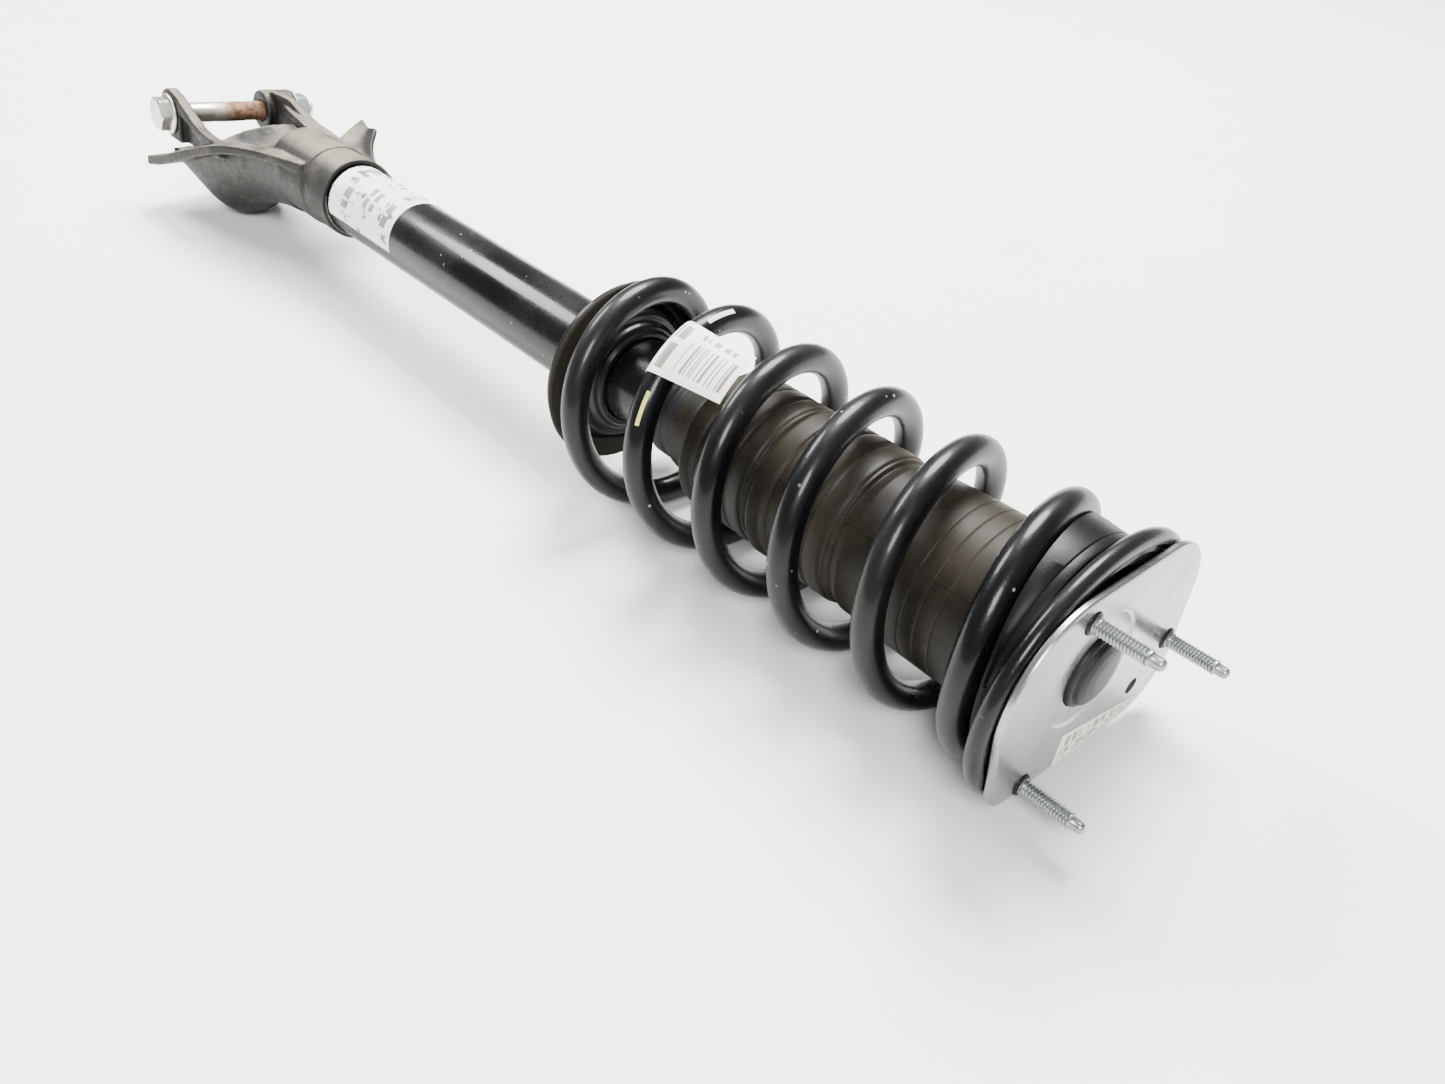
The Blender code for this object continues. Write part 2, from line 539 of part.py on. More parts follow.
def build_fork(parent):
    bm = bmesh.new()
    trough_surface(bm)
    yoke = add_object("fork_yoke", bm, FORK_METAL, parent)
    sheet = yoke.modifiers.new("sheet", "SOLIDIFY")
    sheet.thickness = SHEET * MM
    sheet.offset = -1.0
    sheet.use_even_offset = True
    boolean(yoke, "UNION", lathe_mesh(ring(SLEEVE_START, SLEEVE_END, TUBE_R + GAP, SLEEVE_R, 0.6), 36),
            "yoke_sleeve", "MANIFOLD")
    boolean(yoke, "UNION", prism(ear_outline(NEAR_ARM, EAR_R), *NEAR_EAR_Y, "Y"), "yoke_near_arm", "MANIFOLD")
    boolean(yoke, "UNION", prism(ear_outline(FAR_ARM, BOSS_R), *FAR_EAR_Y, "Y"), "yoke_far_arm", "MANIFOLD")
    boolean(yoke, "UNION", cross_cylinder(*BOSS_Y, BOSS_R - 0.5), "yoke_boss", "MANIFOLD")
    boolean(yoke, "UNION", flange_solid(NEAR_FLANGE), "yoke_near_flange", "MANIFOLD")
    boolean(yoke, "UNION", flange_solid(FAR_FLANGE), "yoke_far_flange", "MANIFOLD")
    boolean(yoke, "UNION", web_solid(), "yoke_web", "MANIFOLD")
    boolean(yoke, "DIFFERENCE", cross_cylinder(-80.0, 110.0, BORE_R), "yoke_bore", "MANIFOLD")
    boolean(yoke, "DIFFERENCE", lathe_mesh(disc(TUBE_START - 1.0, SLEEVE_END + 10.0, TUBE_R + GAP), 36),
            "yoke_tube_seat", "MANIFOLD")

    bolt = add_object("fork_bolt", cross_cylinder(NEAR_EAR_Y[0] - 1.5, BOSS_Y[1] + 19.0, BOLT_R), ZINC, parent)
    boolean(bolt, "UNION", cross_cylinder(NEAR_EAR_Y[0] - 3.8, NEAR_EAR_Y[0] - GAP, 16.0), "bolt_flange")
    head_hex = prism(hexagon(24.0), NEAR_EAR_Y[0] - 11.5, NEAR_EAR_Y[0] - 3.5, "Y")
    boolean(bolt, "UNION", head_hex, "bolt_head")
    nut = add_object("fork_nut", prism(hexagon(24.0), BOSS_Y[1] + 2.5, BOSS_Y[1] + 13.5, "Y"), ZINC, parent)
    boolean(nut, "UNION", cross_cylinder(BOSS_Y[1] + GAP, BOSS_Y[1] + 3.0, 16.0), "nut_flange")
    boolean(nut, "DIFFERENCE", cross_cylinder(BOSS_Y[1] - 10.0, BOSS_Y[1] + 30.0, BOLT_R + 0.2), "nut_bore")


def stand_on_floor(root):
    """Put the origin at the middle of the strut's footprint, at floor height."""
    bpy.context.view_layer.update()
    graph = bpy.context.evaluated_depsgraph_get()
    low, high = Vector((1e9,) * 3), Vector((-1e9,) * 3)
    for node in bpy.data.objects:
        if node.type != "MESH" or node.hide_render:
            continue
        shape = node.evaluated_get(graph)
        for vert in shape.data.vertices:
            place = shape.matrix_world @ vert.co
            low = Vector(map(min, low, place))
            high = Vector(map(max, high, place))
    root.location = (-(low.x + high.x) / 2, -(low.y + high.y) / 2, -low.z)


def main():
    for old in list(bpy.data.objects):
        bpy.data.objects.remove(old, do_unlink=True)
    root = bpy.data.objects.new("strut_axis", None)
    fork = bpy.data.objects.new("fork_axis", None)
    for empty in (root, fork):
        bpy.context.scene.collection.objects.link(empty)
    fork.parent = root
    fork.rotation_euler = (math.radians(FORK_ROLL), 0.0, 0.0)
    build_damper(root)
    build_lower_seat(root)
    build_coil(root)
    build_rod(root)
    build_soft_parts(root)
    build_top_mount(root)
    build_fork(fork)
    build_bracket(fork)
    stand_on_floor(root)


main()
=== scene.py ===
"""Looks of the strut: detailed meshes and materials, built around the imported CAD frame.

Lengths are in millimetres in the strut's own frame: x along the strut's axis from the fork
bolt, y and z from that axis. The fork's pieces are turned a little about the same axis.
"""
import math
import random

import bmesh
import bpy
from mathutils import Matrix, Vector


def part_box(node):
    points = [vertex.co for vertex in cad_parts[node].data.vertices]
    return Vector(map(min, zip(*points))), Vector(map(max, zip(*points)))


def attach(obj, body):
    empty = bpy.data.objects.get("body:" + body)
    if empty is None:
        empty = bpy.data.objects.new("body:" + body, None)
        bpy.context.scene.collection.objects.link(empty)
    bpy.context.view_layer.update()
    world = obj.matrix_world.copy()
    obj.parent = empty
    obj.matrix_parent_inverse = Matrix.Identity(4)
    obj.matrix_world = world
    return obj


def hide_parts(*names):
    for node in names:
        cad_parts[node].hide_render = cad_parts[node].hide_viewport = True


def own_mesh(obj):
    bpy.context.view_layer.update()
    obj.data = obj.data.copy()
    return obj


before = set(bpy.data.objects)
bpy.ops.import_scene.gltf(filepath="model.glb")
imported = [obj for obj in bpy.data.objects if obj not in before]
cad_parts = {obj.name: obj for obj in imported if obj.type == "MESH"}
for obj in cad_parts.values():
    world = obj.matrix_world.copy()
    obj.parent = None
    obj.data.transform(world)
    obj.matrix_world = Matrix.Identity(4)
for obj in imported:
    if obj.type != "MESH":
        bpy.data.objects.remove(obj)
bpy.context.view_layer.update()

MM = 0.001
TUBE_START = 152.0
FORK_ROLL = -8.6

tube_low, tube_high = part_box("damper_tube")
BOLT_POINT = Vector((tube_low[0] - TUBE_START * MM, (tube_low[1] + tube_high[1]) / 2,
                     (tube_low[2] + tube_high[2]) / 2))
AXIS = Matrix.Translation(BOLT_POINT) @ Matrix.Scale(MM, 4)
FORK = AXIS @ Matrix.Rotation(math.radians(FORK_ROLL), 4, "X")


# ------------------------------------------------------------------ materials

class Shader:
    """A Principled material with short helpers for its nodes."""

    def __init__(self, name, **inputs):
        self.material = bpy.data.materials.new(name)
        self.material.use_nodes = True
        self.tree = self.material.node_tree
        self.bsdf = self.tree.nodes["Principled BSDF"]
        self.place = self.tree.nodes.new("ShaderNodeTexCoord").outputs["Object"]
        for key, value in inputs.items():
            self.bsdf.inputs[key.replace("_", " ")].default_value = value

    def node(self, kind, links=(), **settings):
        made = self.tree.nodes.new("ShaderNode" + kind)
        for key, value in settings.items():
            if key in made.inputs:
                made.inputs[key].default_value = value
            else:
                setattr(made, key, value)
        for socket, source in dict(links).items():
            self.tree.links.new(source, made.inputs[socket])
        return made

    def noise(self, scale, detail=4.0, rough=0.55, stretch=(1, 1, 1)):
        mapped = self.node("Mapping", {"Vector": self.place}, Scale=stretch).outputs[0]
        made = self.node("TexNoise", {"Vector": mapped}, Scale=scale, Detail=detail, Roughness=rough)
        return made.outputs[0]

    def spots(self, scale, low, high):
        """Scattered small spots: 1 inside a spot and 0 outside."""
        cells = self.node("TexVoronoi", {"Vector": self.place}, Scale=scale, Randomness=1.0)
        return self.remap(cells.outputs["Distance"], low, high, 1.0, 0.0)

    def remap(self, value, low, high, start=0.0, end=1.0):
        made = self.node("MapRange", {"Value": value}, clamp=True)
        for socket, number in (("From Min", low), ("From Max", high), ("To Min", start), ("To Max", end)):
            made.inputs[socket].default_value = number
        return made.outputs[0]

    def math(self, operation, a, b=0.5):
        made = self.tree.nodes.new("ShaderNodeMath")
        made.operation = operation
        for socket, value in zip(made.inputs, (a, b)):
            if isinstance(value, (int, float)):
                socket.default_value = value
            else:
                self.tree.links.new(value, socket)
        return made.outputs[0]

    def times(self, a, b):
        return self.math("MULTIPLY", a, b)

    def plus(self, a, b, share):
        """a and a share of b."""
        return self.math("ADD", a, self.times(b, share))

    def mix(self, share, a, b):
        made = self.node("Mix", data_type="RGBA")
        sockets = {"Factor": share, "A": a, "B": b}
        for socket in made.inputs:
            if socket.name in sockets and (socket.type == "RGBA" or socket.identifier == "Factor_Float"):
                value = sockets[socket.name]
                if isinstance(value, tuple):
                    socket.default_value = (*value, 1.0)
                elif isinstance(value, (int, float)):
                    socket.default_value = value
                else:
                    self.tree.links.new(value, socket)
        return made.outputs[2]

    def edges(self, low=0.52, high=0.6):
        """1 on worn outer edges and 0 on flats."""
        return self.remap(self.node("NewGeometry").outputs["Pointiness"], low, high)

    def set(self, socket, source):
        self.tree.links.new(source, self.bsdf.inputs[socket])
        return self

    def bump(self, height, strength, distance):
        made = self.node("Bump", {"Height": height}, Strength=strength, Distance=distance)
        return self.set("Normal", made.outputs[0])


def black_paint(name, dust=0.25, gloss=0.24, chips_and_glints=0.13):
    """Black electro-coat: soft gloss, a bloom of dust, and small pale spots: chips down to bare metal, and
    on the rim also painted highlights.
    """
    m = Shader(name, Metallic=0.0, Specular_IOR_Level=0.16, Coat_Weight=0.16, Coat_Roughness=0.08)
    cloud = m.noise(14.0, 6.0)
    grain = m.noise(900.0, 2.0)
    chip_and_glint_spots = m.times(m.spots(140.0, chips_and_glints * 0.8, chips_and_glints), m.remap(m.noise(30.0), 0.55, 0.62))
    base = m.mix(m.remap(cloud, 0.42, 0.8, 0.0, dust), (0.0015, 0.0017, 0.0023), (0.04, 0.038, 0.036))
    # Pale spots: chipped paint, and on the rim also painted highlights.
    m.set("Base Color", m.mix(chip_and_glint_spots, base, (0.3, 0.29, 0.27)))
    m.set("Roughness", m.remap(m.plus(cloud, grain, 0.25), 0.4, 0.95, gloss, gloss + 0.26))
    m.bump(m.plus(grain, m.noise(60.0, 3.0), 2.0), 0.18, 0.0004)
    return m.material


def zinc(name, stain=0.45, rough=0.17):
    """Bright zinc plating with faint blotches, dark pits and fine scratches."""
    m = Shader(name, Metallic=0.92)
    cloud = m.noise(22.0, 7.0, 0.6)
    scratch = m.noise(220.0, 3.0, 0.6, (0.06, 1.0, 0.35))
    pit = m.times(m.spots(170.0, 0.10, 0.16), m.remap(m.noise(40.0), 0.5, 0.6))
    base = m.mix(m.remap(cloud, 0.45, 0.75, 0.0, stain), (0.3, 0.315, 0.315), (0.15, 0.153, 0.148))
    m.set("Base Color", m.mix(pit, base, (0.06, 0.055, 0.05)))
    m.set("Roughness", m.remap(m.plus(cloud, scratch, 0.4), 0.4, 1.0, rough, rough + 0.25))
    m.bump(m.plus(scratch, cloud, 0.6), 0.12, 0.0003)
    return m.material


def fork_steel(name):
    """Dull phosphated steel, paler in patches where it faces up and paler along its edges."""
    m = Shader(name, Metallic=0.3, Specular_IOR_Level=0.3)
    cloud = m.noise(11.0, 8.0, 0.62)
    fine = m.noise(240.0, 5.0, 0.7)
    dark = m.mix(m.remap(cloud, 0.38, 0.68), (0.005, 0.005, 0.005), (0.022, 0.0205, 0.018))
    dusty = m.mix(m.remap(m.noise(45.0, 6.0), 0.52, 0.72, 0.0, 0.6), dark, (0.07, 0.062, 0.048))
    rust = m.mix(m.remap(m.noise(28.0, 6.0), 0.66, 0.78, 0.0, 0.6), dusty, (0.05, 0.028, 0.015))
    facing = m.node("SeparateXYZ", {"Vector": m.node("NewGeometry").outputs["Normal"]}).outputs["Z"]
    patches = m.remap(m.noise(35.0, 6.0), 0.35, 0.6, 0.25, 0.85)
    # Paler in patches on faces that point up.
    paler_facing_up = m.times(m.remap(facing, 0.8, 0.97), patches)
    with_paler_tops = m.mix(paler_facing_up, rust, (0.2, 0.18, 0.14))
    m.set("Base Color", m.mix(m.times(m.edges(), 0.6), with_paler_tops, (0.2, 0.185, 0.16)))
    m.set("Roughness", m.remap(m.math("ADD", cloud, fine), 0.7, 1.3, 0.42, 0.72))
    m.bump(m.plus(fine, cloud, 1.5), 0.3, 0.0006)
    return m.material


def rubber(name, base, dust, dirt, rough=0.55):
    """Moulded rubber with a dusty bloom and a fine grain."""
    m = Shader(name, Metallic=0.0, Specular_IOR_Level=0.12)
    cloud = m.noise(16.0, 7.0, 0.6)
    fine = m.noise(650.0, 3.0, 0.6)
    color = m.mix(m.remap(cloud, 0.4, 0.72, 0.0, dirt), base, dust)
    m.set("Base Color", m.mix(m.remap(m.noise(80.0, 5.0), 0.6, 0.8, 0.0, 0.4), color, dust))
    m.set("Roughness", m.remap(cloud, 0.3, 0.8, rough - 0.1, rough + 0.18))
    m.bump(fine, 0.22, 0.0003)
    return m.material


def machined(name, color, rough):
    """Turned steel with fine rings from the tool."""
    m = Shader(name, Metallic=1.0)
    rings = m.noise(500.0, 2.0, 0.5, (1.0, 0.02, 0.02))
    m.set("Base Color", m.mix(m.noise(25.0), color, tuple(0.82 * c for c in color)))
    m.set("Roughness", m.remap(rings, 0.3, 0.7, rough, rough + 0.15))
    m.bump(rings, 0.1, 0.0002)
    return m.material


def bolt_finish(name):
    """Pale zinc near the head, rusting along the shank towards the boss."""
    m = Shader(name)
    along = m.node("SeparateXYZ", {"Vector": m.place}).outputs["Y"]
    middle_y = BOLT_POINT.y
    uneven = m.plus(along, m.noise(90.0, 6.0, 0.7), 0.03)
    rust_start = m.remap(uneven, middle_y + 0.006, middle_y + 0.022)
    rust_end = m.remap(along, middle_y + 0.052, middle_y + 0.06, 1.0, 0.0)
    share = m.times(rust_start, rust_end)
    cloud = m.noise(160.0, 6.0, 0.7)
    rust = m.mix(m.remap(cloud, 0.35, 0.65), (0.09, 0.04, 0.022), (0.36, 0.2, 0.12))
    pale = m.mix(m.remap(m.noise(50.0), 0.4, 0.7), (0.68, 0.67, 0.61), (0.42, 0.41, 0.36))
    m.set("Base Color", m.mix(share, pale, rust))
    m.set("Metallic", m.remap(share, 0.0, 1.0, 0.85, 0.1))
    m.set("Roughness", m.remap(share, 0.0, 1.0, 0.34, 0.8))
    m.bump(cloud, 0.3, 0.0004)
    return m.material


def plastic(name, color, rough):
    """Dull moulded plastic under a little dust."""
    m = Shader(name, Metallic=0.0, Specular_IOR_Level=0.15)
    cloud = m.noise(30.0, 5.0)
    m.set("Base Color", m.mix(m.remap(cloud, 0.45, 0.8, 0.0, 0.35), color, (0.05, 0.048, 0.046)))
    m.set("Roughness", m.remap(cloud, 0.3, 0.8, rough, rough + 0.2))
    m.bump(m.noise(500.0, 3.0), 0.15, 0.0003)
    return m.material


def foam(name):
    """Yellow open-celled foam."""
    m = Shader(name, Metallic=0.0)
    cells = m.node("TexVoronoi", {"Vector": m.place}, Scale=900.0).outputs["Distance"]
    m.set("Base Color", m.mix(m.remap(m.noise(40.0), 0.35, 0.7), (0.68, 0.55, 0.3), (0.52, 0.4, 0.2)))
    m.set("Roughness", m.remap(cells, 0.0, 1.0, 0.7, 0.95))
    m.bump(cells, 0.4, 0.0005)
    return m.material


def label_paper(name, paper, ink, wear, bars, lines, count):
    """Printed paper: a block of plain bars and a few rows of dashes, scuffed away in places.

    bars is one (low u, high u, low v, high v) block on the label, lines a few more, and count
    the number of bars over the label's whole width.
    """
    m = Shader(name, Metallic=0.0)
    uv = m.node("SeparateXYZ", {"Vector": m.node("UVMap").outputs[0]})
    u, v = uv.outputs["X"], uv.outputs["Y"]

    def block(area):
        low_u, high_u, low_v, high_v = area
        sides = [m.math("GREATER_THAN", u, low_u), m.math("LESS_THAN", u, high_u),
                 m.math("GREATER_THAN", v, low_v), m.math("LESS_THAN", v, high_v)]
        inside = sides[0]
        for side in sides[1:]:
            inside = m.times(inside, side)
        return inside

    def random_strokes(value, number, seed, share):
        cell = m.math("ADD", m.math("FLOOR", m.times(value, number)), seed)
        draw = m.node("TexWhiteNoise", {"W": cell}, noise_dimensions="1D").outputs["Value"]
        return m.math("GREATER_THAN", draw, share)

    marks = m.times(block(bars), random_strokes(u, count, 3.0, 0.45))
    for number, area in enumerate(lines):
        row = m.times(block(area), random_strokes(u, count * 0.6, 20.0 + number, 0.35))
        marks = m.math("MAXIMUM", marks, row)
    torn = m.remap(m.plus(m.noise(70.0, 7.0, 0.7), m.noise(14.0), 0.6), wear, wear + 0.03)
    printed = m.mix(m.times(marks, 0.88), paper, ink)
    grubby = m.mix(m.remap(m.noise(26.0, 6.0), 0.5, 0.8, 0.0, 0.4), printed, (0.4, 0.37, 0.3))
    m.set("Base Color", m.mix(torn, grubby, (0.1, 0.105, 0.11)))
    m.set("Roughness", m.remap(torn, 0.0, 1.0, 0.42, 0.55))
    m.bump(m.noise(300.0, 3.0), 0.15, 0.0002)
    return m.material


LOOKS = {
    "tube": black_paint("tube_paint", dust=0.3, gloss=0.16, chips_and_glints=0.1),
    "spring": black_paint("spring_paint", dust=0.22, gloss=0.25),
    # The rim's pale spots are partly chipped paint and partly painted highlights along its bead.
    "rim": black_paint("rim_paint_chips_and_painted_glints", dust=0.3, gloss=0.2, chips_and_glints=0.22),
    "seat": black_paint("seat_paint", dust=0.5, gloss=0.34),
    "zinc": zinc("zinc_plate"),
    "stud": zinc("stud_zinc", 0.6, 0.24),
    "fork": fork_steel("fork_steel"),
    "isolator": rubber("isolator_rubber", (0.0045, 0.0035, 0.0038), (0.014, 0.0125, 0.012), 0.35, 0.42),
    "pad": rubber("pad_rubber", (0.005, 0.0047, 0.004), (0.026, 0.023, 0.0165), 0.8, 0.6),
    "boot": rubber("boot_rubber", (0.007, 0.006, 0.0045), (0.034, 0.028, 0.018), 0.75, 0.45),
    "bolt": bolt_finish("bolt_zinc_and_rust"),
    "nut": zinc("nut_zinc", 0.3, 0.35),
    "steel": machined("turned_steel", (0.5, 0.5, 0.51), 0.25),
    "chrome": machined("chromed_rod", (0.7, 0.7, 0.72), 0.07),
    "cap": plastic("cap_plastic", (0.009, 0.009, 0.010), 0.34),
    "plastic": plastic("inner_plastic", (0.012, 0.012, 0.014), 0.4),
    "foam": foam("bumper_foam"),
    # Black paint for the studs' collars: painted shade of the crevice where each stud meets the plate.
    "groove": black_paint("stud_foot_painted_shade", dust=0.1, gloss=0.5),
}


# ------------------------------------------------------------------ mesh tools

def shade(mesh, sharp):
    """Smooth shading, with hard edges where faces meet at more than sharp degrees."""
    mesh.shade_smooth()
    mesh.set_sharp_from_angle(angle=math.radians(sharp))


def piece(name, bm, look, body, place=AXIS, sharp=32.0, replaces=()):
    """Finish a bmesh in millimetres as a piece of the strut."""
    bm.transform(place)
    bmesh.ops.recalc_face_normals(bm, faces=bm.faces)
    mesh = bpy.data.meshes.new(name)
    bm.to_mesh(mesh)
    bm.free()
    shade(mesh, sharp)
    made = bpy.data.objects.new(name, mesh)
    made.data.materials.append(LOOKS[look] if isinstance(look, str) else look)
    bpy.context.scene.collection.objects.link(made)
    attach(made, body)
    if replaces:
        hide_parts(*replaces)
    return made


def fillet(outline, radius, steps=4):
    """Round the corners of a closed outline of 2-D points, except where it runs along the axis."""
    made = []
    count = len(outline)
    for i, point in enumerate(outline):
        here, before, after = Vector(point), Vector(outline[i - 1]), Vector(outline[(i + 1) % count])
        if point[1] == 0.0 and min(before.y, after.y) == 0.0:
            made.append(tuple(point))
            continue
        back, on = before - here, after - here
        reach_back, reach_on = min(radius, back.length * 0.45), min(radius, on.length * 0.45)
        start, end = here + back.normalized() * reach_back, here + on.normalized() * reach_on
        for k in range(steps + 1):
            t = k / steps
            spot = start * (1 - t) ** 2 + here * 2 * t * (1 - t) + end * t * t
            made.append((spot.x, spot.y))
    return made


def lathe_mesh(profile, steps=96):
    """Spin a closed outline of (x, radius) points about the strut's axis."""
    bm = bmesh.new()
    points = [bm.verts.new((x, 0.0, r)) for x, r in profile]
    edges = [bm.edges.new((points[i - 1], points[i])) for i in range(len(points))]
    bmesh.ops.spin(bm, geom=points + edges, cent=(0, 0, 0), axis=(1, 0, 0),
                   angle=math.tau, steps=steps, use_merge=True)
    bmesh.ops.remove_doubles(bm, verts=bm.verts, dist=1e-4)
    bmesh.ops.dissolve_degenerate(bm, dist=1e-4, edges=bm.edges)
    bmesh.ops.delete(bm, geom=[e for e in bm.edges if not e.link_faces], context="EDGES")
    return bm


def rows_mesh(rows, ends=True):
    """Skin a list of equal-length loops of points, then cap its ends or join them to each other."""
    bm = bmesh.new()
    verts = [[bm.verts.new(p) for p in row] for row in rows]
    count = len(rows[0])
    pairs = list(zip(verts, verts[1:]))
    if not ends:
        pairs.append((verts[-1], verts[0]))
    for low, high in pairs:
        for i in range(count):
            j = (i + 1) % count
            bm.faces.new((low[i], low[j], high[j], high[i]))
    if ends:
        bm.faces.new(verts[0])
        bm.faces.new(verts[-1])
    return bm


def surface_mesh(rows):
    """Open surface over a grid of points."""
    bm = bmesh.new()
    verts = [[bm.verts.new(p) for p in row] for row in rows]
    for low, high in zip(verts, verts[1:]):
        for k in range(len(low) - 1):
            bm.faces.new((low[k], low[k + 1], high[k + 1], high[k]))
    return bm


def sheet_mesh(point, lifts, along, across, spot=None):
    """Thin closed sheet whose two skins have their grid points at point(i, k, lift).

    spot(i, k) gives a point's place on the label; without it, u runs along and v across.
    """
    spot = spot or (lambda i, k: (i / along, k / across))
    bm = bmesh.new()
    uv = bm.loops.layers.uv.new("UVMap")
    grids = [[[bm.verts.new(point(i, k, lift)) for k in range(across + 1)] for i in range(along + 1)]
             for lift in lifts]
    for side, grid in enumerate(grids):
        for i in range(along):
            for k in range(across):
                cells = [(i, k), (i + 1, k), (i + 1, k + 1), (i, k + 1)]
                cells = cells[::-1] if side else cells
                face = bm.faces.new([grid[a][b] for a, b in cells])
                for loop, cell in zip(face.loops, cells):
                    loop[uv].uv = spot(*cell)
    border = [(i, 0) for i in range(along)] + [(along, k) for k in range(across)]
    border += [(i, across) for i in range(along, 0, -1)] + [(0, k) for k in range(across, 0, -1)]
    for (a, b), (c, d) in zip(border, border[1:] + border[:1]):
        bm.faces.new((grids[0][a][b], grids[1][a][b], grids[1][c][d], grids[0][c][d]))
    return bm


def prism(outline, start, end):
    """Extrude an outline of (x, z) points along y."""
    return rows_mesh([[(x, y, z) for x, z in outline] for y in (start, end)])


def circle(radius, steps, centre=(0.0, 0.0)):
    """Points of a circle as pairs."""
    return [(centre[0] + radius * math.cos(math.tau * i / steps),
             centre[1] + radius * math.sin(math.tau * i / steps)) for i in range(steps)]


def at_x(x, outline):
    """An outline of (y, z) points placed across the axis."""
    return [(x, y, z) for y, z in outline]


def merged(*meshes):
    """One bmesh that holds several."""
    whole = bmesh.new()
    for bm in meshes:
        held = bpy.data.meshes.new("part")
        bm.to_mesh(held)
        bm.free()
        whole.from_mesh(held)
        bpy.data.meshes.remove(held)
    return whole


def smooth_step(t):
    """0 to 1 with flat ends."""
    t = min(max(t, 0.0), 1.0)
    return t * t * (3.0 - 2.0 * t)


def soft_max(a, b, blend=1.2):
    """The larger of two numbers, eased over where they cross."""
    return max(a, b) + blend * math.log1p(math.exp(-abs(a - b) / blend))


def stations(rows, x):
    """Values at x on the smooth curves through rows of (x, values...)."""
    last = len(rows) - 2
    k = next((i for i in range(last) if x <= rows[i + 1][0]), last)
    low, high = rows[k], rows[k + 1]
    before, after = rows[max(k - 1, 0)], rows[min(k + 2, last + 1)]
    span = high[0] - low[0]
    t = min(max((x - low[0]) / span, 0.0), 1.0)
    values = []
    for p, a, b, n in zip(before[1:], low[1:], high[1:], after[1:]):
        start = (b - p) * span / (high[0] - before[0])
        end = (n - a) * span / (after[0] - low[0])
        values.append((2 * t ** 3 - 3 * t ** 2 + 1) * a + (t ** 3 - 2 * t ** 2 + t) * start
                      + (3 * t ** 2 - 2 * t ** 3) * b + (t ** 3 - t ** 2) * end)
    return values


# ------------------------------------------------------------------ damper

TUBE_R, TUBE_WALL, TUBE_END = 25.4, 2.5, 632.0
SEAT_X, SEAT_RIM_R = 549.6, 55.5        # face and outer radius of the lower seat's rubber pad


def build_damper():
    """Outer tube, and the grooved plastic cap over its end with a hole for the rod."""
    inner = TUBE_R - TUBE_WALL
    shell = fillet([(TUBE_START, inner), (TUBE_START, TUBE_R), (TUBE_END, TUBE_R), (TUBE_END, inner)], 0.8)
    piece("tube_shell", lathe_mesh(shell, 128), "tube", "lower_body",
          replaces=("damper_tube",))

    end, hole, cap_in, cap_out = TUBE_END, 12.5, TUBE_R + 0.3, TUBE_R + 2.0
    cap = [(end - 30, cap_in), (end - 30, cap_out), (end - 22, cap_out), (end - 21, cap_out - 0.7),
           (end - 18, cap_out - 0.7), (end - 17, cap_out), (end + 2, cap_out), (end + 3, cap_out - 2),
           (end + 3, hole), (end + 0.3, hole), (end + 0.3, cap_in)]
    piece("tube_end_cap", lathe_mesh(fillet(cap, 0.6)), "plastic", "lower_body",
          replaces=("bump_stop_cap",))


def bead_ring(x, radius, swell, angle, height):
    """Section of a weld bead; angle is round the strut's axis, from +Y towards +Z."""
    ring = []
    for turn in (math.tau * k / 8 for k in range(8)):
        r = radius + swell * height * math.cos(turn)
        ring.append((x + swell * 0.8 * math.sin(turn), r * math.cos(angle), r * math.sin(angle)))
    return ring


def build_lower_seat():
    """Pressed dish in steps, its weld bead round the tube, and the rubber pad on its rim."""
    x, hub, rim = SEAT_X, TUBE_R + 0.3, SEAT_RIM_R
    dish = [(x + 12, hub), (x + 12, hub + 3), (x + 9.5, hub + 4.5), (x + 9, hub + 6.5), (x + 5, hub + 8),
            (x + 5, 38), (x - 2.8, 42), (x - 2.8, rim - 3.5), (x - 4, rim - 2.5), (x - 7.5, rim - 2.5),
            (x - 7.5, rim - 5), (x - 5.3, rim - 6), (x - 5.3, 41), (x + 2.5, 36.5), (x + 2.5, hub + 6.5),
            (x - 14, hub + 2.5), (x - 14, hub)]
    piece("seat_dish", lathe_mesh(fillet(dish, 1.6), 112), "seat", "lower_body",
          replaces=("lower_spring_seat",))
    pad = [(x - 2.5, 43), (x - 0.6, 43.6), (x, 45), (x - 0.4, 47), (x, 49), (x, rim - 1), (x - 1, rim),
           (x - 2.5, rim)]
    piece("seat_pad", lathe_mesh(fillet(pad, 0.5), 112), "pad", "lower_body",
          replaces=("lower_isolator",))
    rings = []
    for angle in (math.tau * i / 160 for i in range(160)):
        swell = 1.5 + 0.22 * math.sin(38 * angle) + 0.12 * math.sin(11 * angle + 1.0)
        rings.append(bead_ring(x - 15.2, hub + 1.6, swell, angle, 0.8))
    piece("seat_weld", rows_mesh(rings, ends=False), "seat", "lower_body")


# ------------------------------------------------------------------ coil spring

WIRE_R, COIL_R, COIL_PITCH, COIL_TURNS = 7.6, 59.4, 53.4, 6.05
# After COIL_LEAD turns the wire is at this x, and this many degrees from +Z towards -Y.
COIL_LEAD, COIL_LEAD_X, COIL_LEAD_ANGLE = 0.5, 570.9, 41.6
# x of the wire's centre where its two ends lie level on their seats.
COIL_SEAT_X, COIL_TOP_X = 557.5, 842.5
# How far the lower end is drawn in, where it starts to widen, and over how many turns.
COIL_DRAW_IN, COIL_DRAW_TURN, COIL_DRAW_SPAN = 6.5, 0.15, 0.47


def coil_station(turn):
    """x of the wire's centre."""
    rise = COIL_LEAD_X + COIL_PITCH * (turn - COIL_LEAD)
    return -soft_max(-soft_max(rise, COIL_SEAT_X), -COIL_TOP_X)


